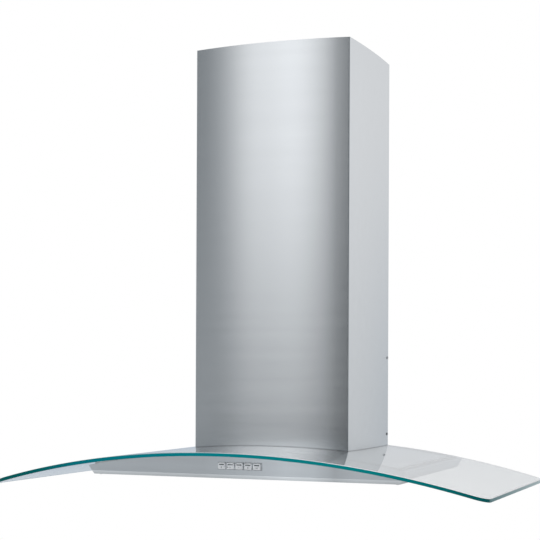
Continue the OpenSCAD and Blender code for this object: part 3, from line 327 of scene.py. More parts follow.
gasket_silicone = moulded("gasket_silicone", (0.52, 0.53, 0.54), 0.6, 0.00004, 900.0, 0.4)
rubber_black = moulded("rubber_black", (0.025, 0.026, 0.027), 0.72, 0.00005, 900.0, 0.35)
housing_plastic = moulded("housing_plastic", (0.045, 0.047, 0.05), 0.5)
wheel_plastic = moulded("wheel_plastic", (0.36, 0.37, 0.38), 0.45)
white_plastic = moulded("white_plastic", (0.74, 0.74, 0.72), 0.42)
bezel_plastic = moulded("bezel_plastic", (0.48, 0.52, 0.55), 0.45)
latch_plastic = moulded("latch_plastic", (0.11, 0.115, 0.12), 0.45)
motor_paint = moulded("motor_paint", (0.16, 0.17, 0.185), 0.35, 0.00006, 300.0)
print("moulded finishes ready, the darkest is", rubber_black.name)

# %% [markdown]
# The bright parts are satin chrome (buttons, lamp rims), raw aluminium (filters) and the vapour-coated
# bowl behind each lamp. They differ in roughness far more than in colour.

# %% Bright metals
def bright_metal(name, colour, roughness, cell=700.0, spread=0.05, metallic=1.0):
    finish, tree, shader = start_finish(name, colour, metallic, roughness)
    cloud = grain(tree, (cell, cell, cell), 3.0, 0.6)
    slow = grain(tree, (40.0, 40.0, 40.0), 2.0)
    dark = [c * 0.92 for c in colour]
    tree.links.new(tint(tree, slow, dark, colour), shader.inputs["Base Color"])
    tree.links.new(between(tree, cloud, max(0.02, roughness - spread), roughness + spread),
                   shader.inputs["Roughness"])
    bump(tree, shader, cloud, 0.00001, 0.25)
    return finish


button_chrome = bright_metal("button_chrome", (0.83, 0.85, 0.885), 0.3, metallic=0.25)
lamp_rim = bright_metal("lamp_rim", (0.74, 0.75, 0.77), 0.2)
filter_aluminium = bright_metal("filter_aluminium", (0.72, 0.73, 0.74), 0.36, 400.0, 0.08)
mesh_aluminium = bright_metal("mesh_aluminium", (0.70, 0.71, 0.72), 0.42, 900.0, 0.1)
reflector = bright_metal("reflector", (0.9, 0.9, 0.9), 0.08, 300.0, 0.03)
print("bright metals ready, the smoothest is", reflector.name)

# %% [markdown]
# The lamp's lens is frosted on one side and has shallow moulded rings, so it passes light but shows no
# clear picture of the bulb. The rings are a sine wave of the distance from the middle of the lamp, and
# taking X and Y without their sign serves both lamps at once. The bulb is a plain clear capsule.

# %% Lamp glass
RING_PITCH = 0.003


def clear_glass(name, colour, roughness, cell=500.0):
    finish, tree, shader = start_finish(name, colour, 0.0, roughness)
    shader.inputs["Transmission Weight"].default_value = 1.0
    shader.inputs["IOR"].default_value = 1.5
    frost = grain(tree, (cell, cell, cell), 3.0, 0.6)
    tree.links.new(between(tree, frost, roughness * 0.8, roughness * 1.2), shader.inputs["Roughness"])
    return finish, tree, shader, frost


def ringed_lens(centre):
    finish, tree, shader, frost = clear_glass("lens_glass", (0.93, 0.95, 0.96), 0.35)
    place = add(tree, "TexCoord").outputs["Object"]
    both_sides = add(tree, "VectorMath", {0: place}, operation="ABSOLUTE").outputs[0]
    away = add(tree, "VectorMath", {0: both_sides, 1: [abs(c) for c in centre]}, operation="DISTANCE")
    per_metre = 2 * math.pi / RING_PITCH
    turns = add(tree, "Math", {0: away.outputs["Value"], 1: per_metre}, operation="MULTIPLY").outputs[0]
    wave = add(tree, "Math", {0: turns}, operation="SINE").outputs[0]
    bump(tree, shader, wave, 0.0002, 0.6)
    return finish


def clear_capsule():
    finish, tree, shader, frost = clear_glass("bulb_glass", (0.96, 0.96, 0.94), 0.04)
    bump(tree, shader, frost, 0.00002, 0.2)
    return finish


lens_low, lens_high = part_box("lamp_lens_right")
lens_glass = ringed_lens((lens_low + lens_high) / 2)
bulb_glass = clear_capsule()
print("lamp glass:", lens_glass.name, bulb_glass.name)

# %% [markdown]
# Each node of the frame already has the material slot that its record names. Swapping the material in
# that slot dresses every piece that shares it. The seal under the chimney is the only node with a finish
# of its own: grey silicone, because a black ring would show through the glass.

# %% Dress the nodes
DRESS = {
    "body_steel": body_steel, "chimney_steel": chimney_steel, "zinc_sheet": zinc,
    "fastener_steel": fastener_steel, "screw_dark": screw_dark, "rubber_black": rubber_black,
    "housing_plastic": housing_plastic, "wheel_plastic": wheel_plastic, "motor_paint": motor_paint,
    "white_plastic": white_plastic, "bezel_plastic": bezel_plastic, "button_chrome": button_chrome,
    "filter_aluminium": filter_aluminium, "mesh_aluminium": mesh_aluminium,
    "latch_plastic": latch_plastic, "lamp_rim": lamp_rim, "lens_glass": lens_glass,
    "reflector": reflector, "bulb_glass": bulb_glass,
}
slot_of = {row["node"]: row["material_slot"] for row in frame["record"]["subparts"]}
for name, node in nodes.items():
    if slot_of[name] in DRESS:
        node.material_slots[0].material = DRESS[slot_of[name]]
nodes["glass_gasket"].material_slots[0].material = gasket_silicone
print("dressed", sum(slot_of[name] in DRESS for name in nodes), "nodes")

# %% [markdown]
# The canopy is one sheet of 6 mm float glass, bent to a shallow arch. Its faces are almost clear. The
# roughness wavers very slowly between none and a trace, like the slight ripple of a bent sheet.

# %% Faces of the glass
def glass_face():
    finish, tree, shader = start_finish("glass_face", (0.93, 0.965, 0.965), 0.0, 0.015)
    shader.inputs["Transmission Weight"].default_value = 1.0
    shader.inputs["IOR"].default_value = 1.5
    wave = grain(tree, (6.0, 6.0, 6.0), 1.0)
    tree.links.new(between(tree, wave, 0.0, 0.03), shader.inputs["Roughness"])
    return finish


glass_low, glass_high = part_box("glass_canopy")
face_finish = glass_face()
print("finish:", face_finish.name)

# %% [markdown]
# The polished edge of the sheet looks deep green-blue, because the light in it has travelled a long way
# through glass that holds a little iron. A renderer could find that by itself with coloured absorption, but
# it would need many bounces. So the edges get finishes of their own. The front edge has painted shade: it
# is darker and greener towards its two tips. Along the two side edges the colour is painted to fade towards
# the wall, where less light comes through from the front.

# %% Polished edges of the glass
def glass_front_edge(left_x, right_x):
    finish, tree, shader = start_finish("glass_edge", (0.0, 0.2, 0.22), 0.0, 0.25)
    shader.inputs["Specular IOR Level"].default_value = 0.05
    # Painted shade: darker, greener stops at the two tips.
    stops = [(left_x, (0.0, 0.085, 0.085)), (-0.33, (0.0, 0.10, 0.105)), (-0.25, (0.0, 0.15, 0.19)),
             (0.0, (0.0, 0.20, 0.235)), (0.3, (0.0, 0.20, 0.215)), (0.42, (0.0, 0.12, 0.125)),
             (right_x, (0.0, 0.10, 0.105))]
    deep = ramp_along(tree, "X", left_x, right_x, stops, 0.06)
    tree.links.new(deep, shader.inputs["Base Color"])
    polish = grain(tree, (300.0, 300.0, 300.0), 2.0)
    tree.links.new(between(tree, polish, 0.2, 0.3), shader.inputs["Roughness"])
    return finish


def glass_side_edge(front_y):
    finish, tree, shader = start_finish("glass_side_edge", (0.1, 0.3, 0.33), 0.0, 0.3)
    shader.inputs["Specular IOR Level"].default_value = 0.06
    back = share_along(tree, "Y", front_y, 0.0)
    patch = grain(tree, (12.0, 12.0, 200.0), 2.0)
    uneven = add(tree, "Math", {0: patch, 1: 0.2, 2: back}, operation="MULTIPLY_ADD").outputs[0]
    # Painted light: deep teal at the front, pale towards the wall.
    tree.links.new(tint(tree, uneven, (0.02, 0.14, 0.155), (0.46, 0.58, 0.60)), shader.inputs["Base Color"])
    return finish


edge_finish = glass_front_edge(glass_low.x, glass_high.x)
side_finish = glass_side_edge(glass_low.y + 0.04)
print("finishes:", edge_finish.name, side_finish.name)

# %% [markdown]
# The edge at the wall and the narrow chamfers are ground but not polished, so they scatter light and look
# pale. The upper chamfer, the arris, takes its colour from the glass at the left, and turns white at the
# right: a painted highlight where it catches the light.

# %% Ground edges of the glass
def ground_edge(name, colour):
    finish, tree, shader = start_finish(name, colour, 0.0, 0.55)
    dust = grain(tree, (700.0, 700.0, 700.0), 3.0, 0.6)
    dark = [c * 0.95 for c in colour]
    tree.links.new(tint(tree, dust, dark, colour), shader.inputs["Base Color"])
    tree.links.new(between(tree, dust, 0.45, 0.6), shader.inputs["Roughness"])
    return finish


def ground_arris_with_highlight(left_x, right_x):
    finish, tree, shader = start_finish("glass_arris", (0.7, 0.72, 0.74), 0.0, 0.5)
    # Painted highlight: the stops turn white towards the right.
    stops = [(left_x, (0.0, 0.10, 0.105)), (-0.2, (0.0, 0.16, 0.19)), (0.05, (0.55, 0.58, 0.60)),
             (0.25, (0.80, 0.80, 0.82)), (right_x, (0.82, 0.82, 0.84))]
    tree.links.new(ramp_along(tree, "X", left_x, right_x, stops, 0.03), shader.inputs["Base Color"])
    return finish


arris_finish = ground_arris_with_highlight(glass_low.x, glass_high.x)
back_finish = ground_edge("glass_back_edge", (0.62, 0.65, 0.67))
print("finishes:", arris_finish.name, back_finish.name)

# %% [markdown]
# Some pieces of the frame have the right size but knife-sharp edges. A finer piece starts as a copy of
# the node with its loose triangles merged, so that edges and faces can be worked on. Other pieces are
# built from nothing. Both kinds end the same way: the mesh is written into its object, gets its
# finishes, rides on a body of the frame and stands for the nodes that it replaces.

# %% Helpers for pieces
def empty_piece(name):
    mesh = bpy.data.meshes.new(name)
    piece = bpy.data.objects.new(name, mesh)
    bpy.context.scene.collection.objects.link(piece)
    return bmesh.new(), piece


def merged_copy(node_name, piece_name):
    form, piece = empty_piece(piece_name)
    form.from_mesh(nodes[node_name].data)
    bmesh.ops.remove_doubles(form, verts=form.verts, dist=1e-6)
    bmesh.ops.recalc_face_normals(form, faces=form.faces)
    return form, piece


def seal(form, piece, finishes, smooth_angle=None):
    """Writes the form into its object with its finishes. Edges flatter than the angle look smooth."""
    form.normal_update()
    if smooth_angle is not None:
        for face in form.faces:
            face.smooth = True
        for edge in form.edges:
            edge.smooth = len(edge.link_faces) == 2 and edge.calc_face_angle(0) < math.radians(smooth_angle)
    form.to_mesh(piece.data)
    form.free()
    for finish in finishes:
        piece.data.materials.append(finish)


def settle(piece, body, slot, *replaced):
    """Seats a finished piece in the frame: its body and the nodes that it stands for. The slot is not used.
    """
    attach(piece, body)
    if replaced:
        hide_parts(*replaced)


def cut(form, point, normal):
    """Adds edges where a plane crosses the form."""
    everything = form.verts[:] + form.edges[:] + form.faces[:]
    bmesh.ops.bisect_plane(form, geom=everything, dist=1e-7, plane_co=point, plane_no=normal)


print("helpers for pieces ready")

# %% [markdown]
# The glass is slumped over a mould when hot, so it follows a true arc. Cuts at every centimetre let the
# mesh follow it, and each point is then set on the arc itself. The upper face is raised by a quarter of a
# millimetre, to meet the foot of the chimney. The rims are then ground to a narrow flat, wider above than
# below.

# %% Bend and grind the sheet
GLASS_T = 0.006
FULLER = 0.00025
UPPER_ARRIS, LOWER_ARRIS = 0.0008, 0.0003


def follow_arc(form):
    for centimetre in range(-44, 45):
        cut(form, (centimetre * 0.01, 0, 0), (1, 0, 0))
    for vert in form.verts:
        on_top = math.hypot(vert.co.x, vert.co.z - ARCH_AXIS_Z) > ARCH_R - GLASS_T / 2
        radius = ARCH_R + FULLER if on_top else ARCH_R - GLASS_T
        vert.co.z = ARCH_AXIS_Z + math.sqrt(radius ** 2 - vert.co.x ** 2)
    form.normal_update()


def grind_rims(form):
    """Bevels the edges between a large face and a rim, and returns how many there are."""
    rims = [e for e in form.edges if len(e.link_faces) == 2
            and sum(abs(f.normal.z) > 0.8 for f in e.link_faces) == 1]
    upper = [e for e in rims if any(f.normal.z > 0.8 for f in e.link_faces)]
    lower = [e for e in rims if e not in upper]
    for edges, width in ((upper, UPPER_ARRIS), (lower, LOWER_ARRIS)):
        bmesh.ops.bevel(form, geom=edges, offset=width, affect="EDGES", segments=1, profile=0.5,
                        material=-1)
    form.normal_update()
    return len(rims)


sheet, canopy = merged_copy("glass_canopy", "glass_sheet")
bmesh.ops.dissolve_limit(sheet, angle_limit=math.radians(0.05), verts=sheet.verts, edges=sheet.edges)
follow_arc(sheet)
print("glass:", grind_rims(sheet), "rim edges ground")

# %% [markdown]
# Each face of the sheet gets its finish by the way it looks: up or down for the clear faces, forwards,
# sideways or back for the edges. The shading normals of the two large faces are worked out from the arc,
# so a reflection runs over them without a ripple. The sheet is hidden from reflections in the steel. The
# chimney looks down on it at a flat angle, where glass is nearly a mirror, and would show a bright patch
# of studio above its foot.

# %% Finish the sheet
FACE, FRONT_EDGE, SIDE_EDGE, ARRIS, BACK_EDGE = range(5)


def glass_part(normal):
    if abs(normal.z) > 0.9:
        return FACE
    if normal.y > 0.5:
        return BACK_EDGE
    if normal.z > 0.4:
        return ARRIS
    return SIDE_EDGE if abs(normal.x) > 0.97 else FRONT_EDGE


def arch_normals(piece):
    normals = []
    for face in piece.data.polygons:
        side = 1 if face.normal.z > 0 else -1
        for corner in face.vertices:
            point = piece.data.vertices[corner].co
            bent = Vector((point.x, 0, point.z - ARCH_AXIS_Z)).normalized()
            normals.append(bent * side if face.material_index == FACE else face.normal)
    piece.data.normals_split_custom_set(normals)


for face in sheet.faces:
    face.material_index = glass_part(face.normal)
seal(sheet, canopy, [face_finish, edge_finish, side_finish, arris_finish, back_finish])
arch_normals(canopy)
canopy.visible_glossy = False
settle(canopy, "hood", "glass_canopy", "glass_canopy")
print("glass:", len(canopy.data.polygons), "faces")

# %% [markdown]
# The five push buttons are moulded and plated in satin chrome. Seen from the front, a cap is a rectangle
# with two round upper corners. Below its slot is a small mark that says what the button does: a lamp, a
# ring for off, and one to three bars for the speeds. Both are flat outlines, made as lists of points.

# %% Outlines of caps and marks
RING_OUTER, RING_INNER = 0.0011, 0.0007
BAR_HALF_W, BAR_HALF_H, BAR_PITCH = 0.0003, 0.001, 0.0013


def cap_outline(width, height, upper_r, lower_r, steps=6):
    """Front view of a cap, anticlockwise from its lower left corner."""
    w, h = width / 2, height / 2
    corners = [(-w + lower_r, -h + lower_r, lower_r, 180), (w - lower_r, -h + lower_r, lower_r, 270),
               (w - upper_r, h - upper_r, upper_r, 0), (-w + upper_r, h - upper_r, upper_r, 90)]
    return [(x + r * math.cos(math.radians(start + 90 * i / steps)),
             z + r * math.sin(math.radians(start + 90 * i / steps)))
            for x, z, r, start in corners for i in range(steps + 1)]


def bars(count):
    places = [(i - (count - 1) / 2) * BAR_PITCH for i in range(count)]
    return [[(x - BAR_HALF_W, -BAR_HALF_H), (x + BAR_HALF_W, -BAR_HALF_H),
             (x + BAR_HALF_W, BAR_HALF_H), (x - BAR_HALF_W, BAR_HALF_H)] for x in places]


def ring(pieces=12):
    """A ring in flat segments, because an outline can't have a hole."""
    shapes = []
    for i in range(pieces):
        a, b = (math.radians(360 / pieces * (i + step)) for step in (0, 1))
        corners = ((RING_OUTER, a), (RING_OUTER, b), (RING_INNER, b), (RING_INNER, a))
        shapes.append([(r * math.cos(t), r * math.sin(t)) for r, t in corners])
    return shapes


def mark_shapes(kind):
    """Front views of a mark, around its middle. Kind is a number of bars, or off, or lamp."""
    if kind == "off":
        return ring()
    if kind == "lamp":
        return ring() + [[(-0.0005, -0.0017), (0.0005, -0.0017), (0.0005, -0.00125), (-0.0005, -0.00125)]]
    return bars(kind)


print("the lamp mark has", len(mark_shapes("lamp")), "shapes")

# %% [markdown]
# A cap starts as its outline, which is pushed back to its depth. Then its front rim gets a soft bevel that
# catches the light from above, and the slot is cut into the front and sunk by an inset. The floor of the
# slot is painted dark, as shade in the groove. The marks stand about a tenth of a millimetre proud, so that
# they keep clear of the face. The second cap also has a round dark window for its indicator.

# %% A button cap
CAP_W, CAP_H, CAP_CORNER, CAP_FOOT, CAP_RIM, CAP_DEPTH = 0.014, 0.011, 0.0034, 0.0016, 0.0011, 0.010
SLOT_HALF, SLOT_LOW, SLOT_TOP, SLOT_SLOPE, SLOT_DEPTH = 0.0049, 0.0012, 0.0031, 0.00025, 0.0009
MARK_Z, MARK_PROUD, MARK_ROOT = -0.0022, 0.00012, 0.0003
DOT_X, DOT_R = -0.0045, 0.0009
STEM_W, STEM_H, STEM_CORNER, STEM_ROOT = 0.006, 0.005, 0.0005, 0.0005
# Painted shade: the dark finish of the slot's floor stands for the depth of the groove.
slot_shade_finish = moulded("button_slot_shade", (0.06, 0.085, 0.095), 0.35)
mark_finish = moulded("button_mark", (0.16, 0.19, 0.21), 0.5)
CHROME, DARK, INK = range(3)


def push_out(form, points, y_front, y_back, material=CHROME):
    """A closed solid from a front view: its front face at y_front, pushed back to y_back."""
    front = form.faces.new([form.verts.new((x, y_front, z)) for x, z in points])
    made = bmesh.ops.extrude_face_region(form, geom=[front])["geom"]
    back = [g for g in made if isinstance(g, bmesh.types.BMVert)]
    for vert in back:
        vert.co.y = y_back
    shell = [front] + list({face for vert in back for face in vert.link_faces})
    for face in shell:
        face.material_index = material
    bmesh.ops.recalc_face_normals(form, faces=shell)
    return front


def sink_slot(form, x, y, z):
    for side in (-SLOT_HALF, SLOT_HALF):
        cut(form, (x + side, 0, 0), (1, 0, 0))
    for height in (SLOT_LOW, SLOT_TOP):
        cut(form, (0, 0, z + height), (0, 0, 1))
    middle = Vector((x, y, z + (SLOT_LOW + SLOT_TOP) / 2))
    slot_face = min(form.faces, key=lambda f: (f.calc_center_median() - middle).length)
    bmesh.ops.inset_region(form, faces=[slot_face], thickness=SLOT_SLOPE, depth=-SLOT_DEPTH)
    # Painted shade: the slot's floor takes the dark finish.
    slot_face.material_index = DARK


def print_marks(form, x, y, z, kind):
    for shape in mark_shapes(kind):
        points = [(x + px, z + MARK_Z + pz) for px, pz in shape]
        push_out(form, points, y - MARK_PROUD, y + MARK_ROOT, INK)
    if kind == "off":
        dot = [(x + DOT_X + DOT_R * math.cos(math.radians(30 * i)),
                z + MARK_Z + DOT_R * math.sin(math.radians(30 * i))) for i in range(12)]
        push_out(form, dot, y - MARK_PROUD, y + MARK_ROOT, DARK)


print(f"cap: {CAP_W * 1000:.0f} by {CAP_H * 1000:.0f} mm, slot {SLOT_HALF * 2000:.1f} mm long")

# %% [markdown]
# Each cap takes its place from the node that it replaces, and rides on that button's own body, so it
# moves in when the button is pressed. Its flat front keeps flat shading, and only the rim is smooth.

# %% The five buttons
def button_cap(node_name, body, kind):
    low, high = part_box(node_name)
    x, z = (low.x + high.x) / 2, (low.z + high.z) / 2
    front, back = low.y, low.y + CAP_DEPTH
    form, piece = empty_piece(node_name + "_cap")
    outline = [(x + px, z + pz) for px, pz in cap_outline(CAP_W, CAP_H, CAP_CORNER, CAP_FOOT)]
    face = push_out(form, outline, front, back)
    bmesh.ops.bevel(form, geom=list(face.edges), offset=CAP_RIM, affect="EDGES", segments=3, profile=0.5,
                    material=-1)
    sink_slot(form, x, front, z)
    stem = [(x + px, z + pz) for px, pz in cap_outline(STEM_W, STEM_H, STEM_CORNER, STEM_CORNER, 2)]
    push_out(form, stem, back - STEM_ROOT, high.y)
    print_marks(form, x, front, z, kind)
    seal(form, piece, [button_chrome, slot_shade_finish, mark_finish], 35)
    for polygon in piece.data.polygons:
        if polygon.normal.y < -0.999:
            polygon.use_smooth = False
    settle(piece, body, "button_chrome", node_name)
    return piece


BUTTONS = [("button_light", "light_key", "lamp"), ("button_off", "off_key", "off"),
           ("button_speed_1", "speed_key_1", 1), ("button_speed_2", "speed_key_2", 2),
           ("button_speed_3", "speed_key_3", 3)]
caps = [button_cap(*button) for button in BUTTONS]
print("buttons:", [len(cap.data.polygons) for cap in caps], "faces")

# %% [markdown]
# A pan head screw is turned from a rod and its cross is pressed in by a punch. The head here is spun
# from half its outline, the hole in its middle is bridged to the outline of a cross, and that outline
# is sunk to make the recess.

# %% A cross-recess screw
def spun(profile):
    """Half an outline, spun once round the Z axis."""
    form = bmesh.new()
    line = [form.verts.new((r, 0, z)) for r, z in profile]
    edges = [form.edges.new(pair) for pair in zip(line, line[1:])]
    bmesh.ops.spin(form, geom=line + edges, cent=(0, 0, 0), axis=(0, 0, 1), angle=2 * math.pi, steps=24,
                   use_merge=True)
    bmesh.ops.remove_doubles(form, verts=form.verts, dist=1e-7)
    return form


def punch_cross(form, radius, height):
    rim = [e for e in form.edges if e.is_boundary]
    arm, half = radius * 0.52, radius * 0.14
    cross = [(arm, -half), (arm, half), (half, half), (half, arm), (-half, arm), (-half, half),
             (-arm, half), (-arm, -half), (-half, -half), (-half, -arm), (half, -arm), (half, -half)]
    points = [form.verts.new((px, py, height)) for px, py in cross]
    outline = [form.edges.new((points[i], points[i - 1])) for i in range(12)]
    bmesh.ops.bridge_loops(form, edges=rim + outline)
    floor_of_cross = form.faces.new(points)
    sunk = bmesh.ops.extrude_face_region(form, geom=[floor_of_cross])["geom"]
    for vert in [g for g in sunk if isinstance(g, bmesh.types.BMVert)]:
        vert.co.z -= height * 0.8
        vert.co.x *= 0.7
        vert.co.y *= 0.7
    if floor_of_cross.is_valid:
        form.faces.remove(floor_of_cross)
    bmesh.ops.recalc_face_normals(form, faces=form.faces)


def pan_head(form, seat, outward, radius, height, shank_r, shank_length):
    """Adds a screw whose head sits at the point seat and looks along outward."""
    screw = spun([(0, -shank_length), (shank_r, -shank_length), (shank_r, 0), (radius, 0),
                  (radius, height * 0.3), (radius * 0.93, height * 0.68), (radius * 0.82, height * 0.9),
                  (radius * 0.66, height)])
    punch_cross(screw, radius, height)
    turn = Vector((0, 0, 1)).rotation_difference(Vector(outward)).to_matrix().to_4x4()
    bmesh.ops.transform(screw, matrix=Matrix.Translation(seat) @ turn, verts=screw.verts)
    scratch = bpy.data.meshes.new("scratch")
    screw.to_mesh(scratch)
    screw.free()
    form.from_mesh(scratch)
    bpy.data.meshes.remove(scratch)


print("helpers: spun, punch_cross, pan_head")

# %% [markdown]
# Identical screws share one node of the frame. To find where each one sits, the copy of that node is
# taken apart into its islands: from any point, the edges lead to every other point of the same screw.

# %% Screws of the panel and the chimney
HEAD_H = 0.0014


def islands(node_name):
    """The boxes of the separate solids in a node."""
    form = bmesh.new()
    form.from_mesh(nodes[node_name].data)
    bmesh.ops.remove_doubles(form, verts=form.verts, dist=1e-6)
    left, found = set(form.verts), []
    while left:
        group, frontier = set(), [next(iter(left))]
        while frontier:
            vert = frontier.pop()
            if vert not in group:
                group.add(vert)
                frontier += [edge.other_vert(vert) for edge in vert.link_edges]
        left -= group
        found.append((Vector([min(v.co[i] for v in group) for i in range(3)]),
                      Vector([max(v.co[i] for v in group) for i in range(3)])))
    form.free()
    return sorted(found, key=lambda box: tuple(box[0]))


def panel_screws():
    form, piece = empty_piece("panel_screw_heads")
    for low, high in islands("panel_screws"):
        middle = (low + high) / 2
        seat = (middle.x, middle.y, low.z + HEAD_H)
        pan_head(form, seat, (0, 0, -1), radius=0.003, height=HEAD_H, shank_r=0.0014, shank_length=0.005)
    seal(form, piece, [fastener_steel], 40)
    settle(piece, "hood", "body_steel", "panel_screws")
    return piece


def chimney_screws():
    form, piece = empty_piece("chimney_screw_heads")
    for low, high in islands("chimney_screws"):
        middle = (low + high) / 2
        side = 1 if middle.x > 0 else -1
        seat = ((high.x if side > 0 else low.x) - side * 0.0016, middle.y, middle.z)
        pan_head(form, seat, (side, 0, 0), radius=0.0028, height=HEAD_H, shank_r=0.0019,
                 shank_length=0.0098)
    seal(form, piece, [screw_dark], 40)
    settle(piece, "hood", "screw_dark", "chimney_screws")
    return piece


screws = [panel_screws(), chimney_screws()]
print("screws:", [len(piece.data.polygons) for piece in screws], "faces")

# %% [markdown]
# A grease filter holds several layers of expanded aluminium: thin foil that is slit and pulled open
# into diamonds. Each layer is a set of zigzag strands, and each strand touches the next at its bends. A
# strand starts as a long narrow grid. Its columns are moved to and fro, and it is given the thickness of
# the foil. A band all round stands for the folded edge that the frame grips.

# %% Strand and band of the filter mesh
CELL_W, CELL_H = 0.0115, 0.0060
STRAND_W, STRAND_T, STRAND_TILT = 0.0014, 0.0005, 0.0003
BAND_W = 0.006


def strand(width, swing):
    """One flat strip along X, bent to and fro by half a cell, as a mesh to be repeated."""
    count = round(width / (CELL_W / 2))
    form = bmesh.new()
    bmesh.ops.create_grid(form, x_segments=count, y_segments=1, size=0.5,
                          matrix=Matrix.Diagonal((width, STRAND_W, 1, 1)))
    for vert in form.verts:
        column = round((vert.co.x / width + 0.5) * count)
        vert.co.z = STRAND_TILT if vert.co.y > 0 else 0.0
        vert.co.y += (swing if column % 2 else -swing) * (CELL_H - STRAND_W) / 4
    bmesh.ops.solidify(form, geom=form.faces[:], thickness=STRAND_T)
    bmesh.ops.recalc_face_normals(form, faces=form.faces)
    strip = bpy.data.meshes.new("strand")
    form.to_mesh(strip)
    form.free()
    return strip


def edge_band(form, low, high, width):
    """A flat ring round the mesh: a rectangle is inset, its middle is taken out, the rest is raised."""
    size = high - low
    middle = Matrix.Translation(((low.x + high.x) / 2, (low.y + high.y) / 2, low.z))
    made = bmesh.ops.create_grid(form, x_segments=1, y_segments=1, size=0.5,
                                 matrix=middle @ Matrix.Diagonal((size.x, size.y, 1, 1)))
    inner = made["verts"][0].link_faces[0]
    ring_faces = bmesh.ops.inset_region(form, faces=[inner], thickness=width)["faces"]
    bmesh.ops.delete(form, geom=[inner], context="FACES_ONLY")
    raised = bmesh.ops.extrude_face_region(form, geom=ring_faces, use_keep_orig=True)["geom"]
    upper = [part for part in raised if isinstance(part, bmesh.types.BMVert)]
    bmesh.ops.translate(form, verts=upper, vec=(0, 0, size.z))


print(f"diamonds: {CELL_W * 1000:.1f} by {CELL_H * 1000:.1f} mm")

# %% [markdown]
# Four layers lie above each other, each set off by half a diamond, and let hardly any grease or light
# past. Only two strands are ever made, one for each way of swinging. They are moved to their row as a
# whole and copied into the piece, which is much faster than building each strand again.

# %% Stack the filter mesh
LAYERS = 4
FIRST_LAYER, SPARE_HEIGHT = 0.0008, 0.0020


def filter_mesh(side):
    low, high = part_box("filter_mesh_" + side)
    form, piece = empty_piece("expanded_mesh_" + side)
    strips = [strand(high.x - low.x - 0.002, swing) for swing in (-1, 1)]
    rows = round((high.y - low.y) / (CELL_H / 2))
    for layer in range(LAYERS):
        z = low.z + FIRST_LAYER + (high.z - low.z - SPARE_HEIGHT) * layer / (LAYERS - 1)
        for row in range(1, rows):
            strip = strips[(row + layer) % 2]
            there = Vector(((low.x + high.x) / 2, low.y + (high.y - low.y) * row / rows, z))
            strip.transform(Matrix.Translation(there))
            form.from_mesh(strip)
            strip.transform(Matrix.Translation(-there))
    edge_band(form, low, high, BAND_W)
    bmesh.ops.recalc_face_normals(form, faces=form.faces)
    seal(form, piece, [mesh_aluminium])
    for strip in strips:
        bpy.data.meshes.remove(strip)
    settle(piece, "filter_" + side, "mesh_aluminium", "filter_mesh_" + side)
    return piece


meshes = [filter_mesh(side) for side in ("left", "right")]
print("filter meshes:", [len(piece.data.polygons) for piece in meshes], "faces")

# %% [markdown]
# Steel shows its form by what it mirrors. The room in front of the hood is dimmer than the white
# backdrop behind it, and has one tall soft window a little to the left, which the bowed chimney draws
# out into a bright band. The brightness is set by the direction in degrees round the hood: 0 is straight
# in front, and it grows to the right. One row is for the heights near the ground, one for those above.
# A ramp of colours holds values up to 1, so the levels are stored as shares of the brightest one.

# %% Studio levels
STUDIO_LOW = [(-180, (0.4, 0.45, 0.51)), (-150, (0.47, 0.53, 0.6)), (-110, 0.6), (-58, 0.354),
              (-52, 0.354), (-47, 0.505), (-42, 0.315), (-37, 0.248), (-32, 0.228),
              (-27, 0.191), (-21, 0.186), (-16, 0.169), (-10, 0.138), (-5, 0.106), (-1, 0.157),
              (2, 0.0905), (5, 0.0364), (8, 0.03), (13, 0.03), (30, 0.16), (70, 0.3),
              (105, 0.6), (148, 0.85), (166, 0.62), (180, (0.4, 0.45, 0.51))]
STUDIO_HIGH = [(-180, 0.8), (-150, 0.95), (-100, 0.9), (-58, 0.212), (-52, 0.212), (-47, 0.31),
               (-42, 0.436), (-37, 0.694), (-32, 1.15), (-27, 1.61), (-21, 1.45), (-16, 1.72),
               (-10, 1.8), (-5, 1.4), (-1, 1.16), (2, 0.694), (5, 0.122), (8, 0.0988),
               (13, 0.0829), (30, 0.18), (70, 0.4), (105, 0.9), (148, 1.08), (166, 0.86),
               (180, 0.8)]
STUDIO_PEAK, CEILING = 1.8, 0.45


def level_ramp(tree, turn, levels):
    stops = []
    for angle, level in levels:
        shade = level if isinstance(level, tuple) else (level, level, level)
        stops.append(((angle + 180) / 360, [part / STUDIO_PEAK for part in shade]))
    return dimmed(tree, colour_row(tree, turn, stops, "B_SPLINE"), STUDIO_PEAK)


print("studio:", len(STUDIO_LOW), "steps low and", len(STUDIO_HIGH), "steps high round the hood")

# %% [markdown]
# The direction of a ray tells what it sees of the studio: its turn round the hood picks a level from
# both rows, and its height blends them. The ceiling is darker than the walls, and the dim parts of the
# room are a little cooler than the bright ones.

# %% The studio in a direction
def studio_look(tree):
    way = add(tree, "TexCoord").outputs["Generated"]
    x, y, z = add(tree, "SeparateXYZ", {"Vector": way}).outputs
    forward = add(tree, "Math", {0: y, 1: -1.0}, operation="MULTIPLY").outputs[0]
    angle = add(tree, "Math", {0: x, 1: forward}, operation="ARCTAN2").outputs[0]
    turn = rescale(tree, angle, -math.pi, math.pi)
    height = rescale(tree, z, -0.09, 0.2, interpolation_type="SMOOTHSTEP")
    walls = add(tree, "Mix", {"Factor": height, "A": level_ramp(tree, turn, STUDIO_LOW),
                              "B": level_ramp(tree, turn, STUDIO_HIGH)}, data_type="RGBA").outputs["Result"]
    room = dimmed(tree, walls, rescale(tree, z, 0.22, 0.6, 1.0, CEILING))
    bright = rescale(tree, room, 0.2, 0.9)
    return dyed(tree, room, tint(tree, bright, (0.93, 1.0, 1.06), (0.997, 0.995, 1.01)))


print("the ceiling has", CEILING, "of the brightness of the walls")

# %% [markdown]
# A world can answer each kind of ray in its own way. Surfaces that are only lit get a plain grey level,
# so that a colour renders about as it is written. Reflections get the studio. The camera, and what is
# seen through the glass, get white.

# %% World
PLAIN_LEVEL = 0.55


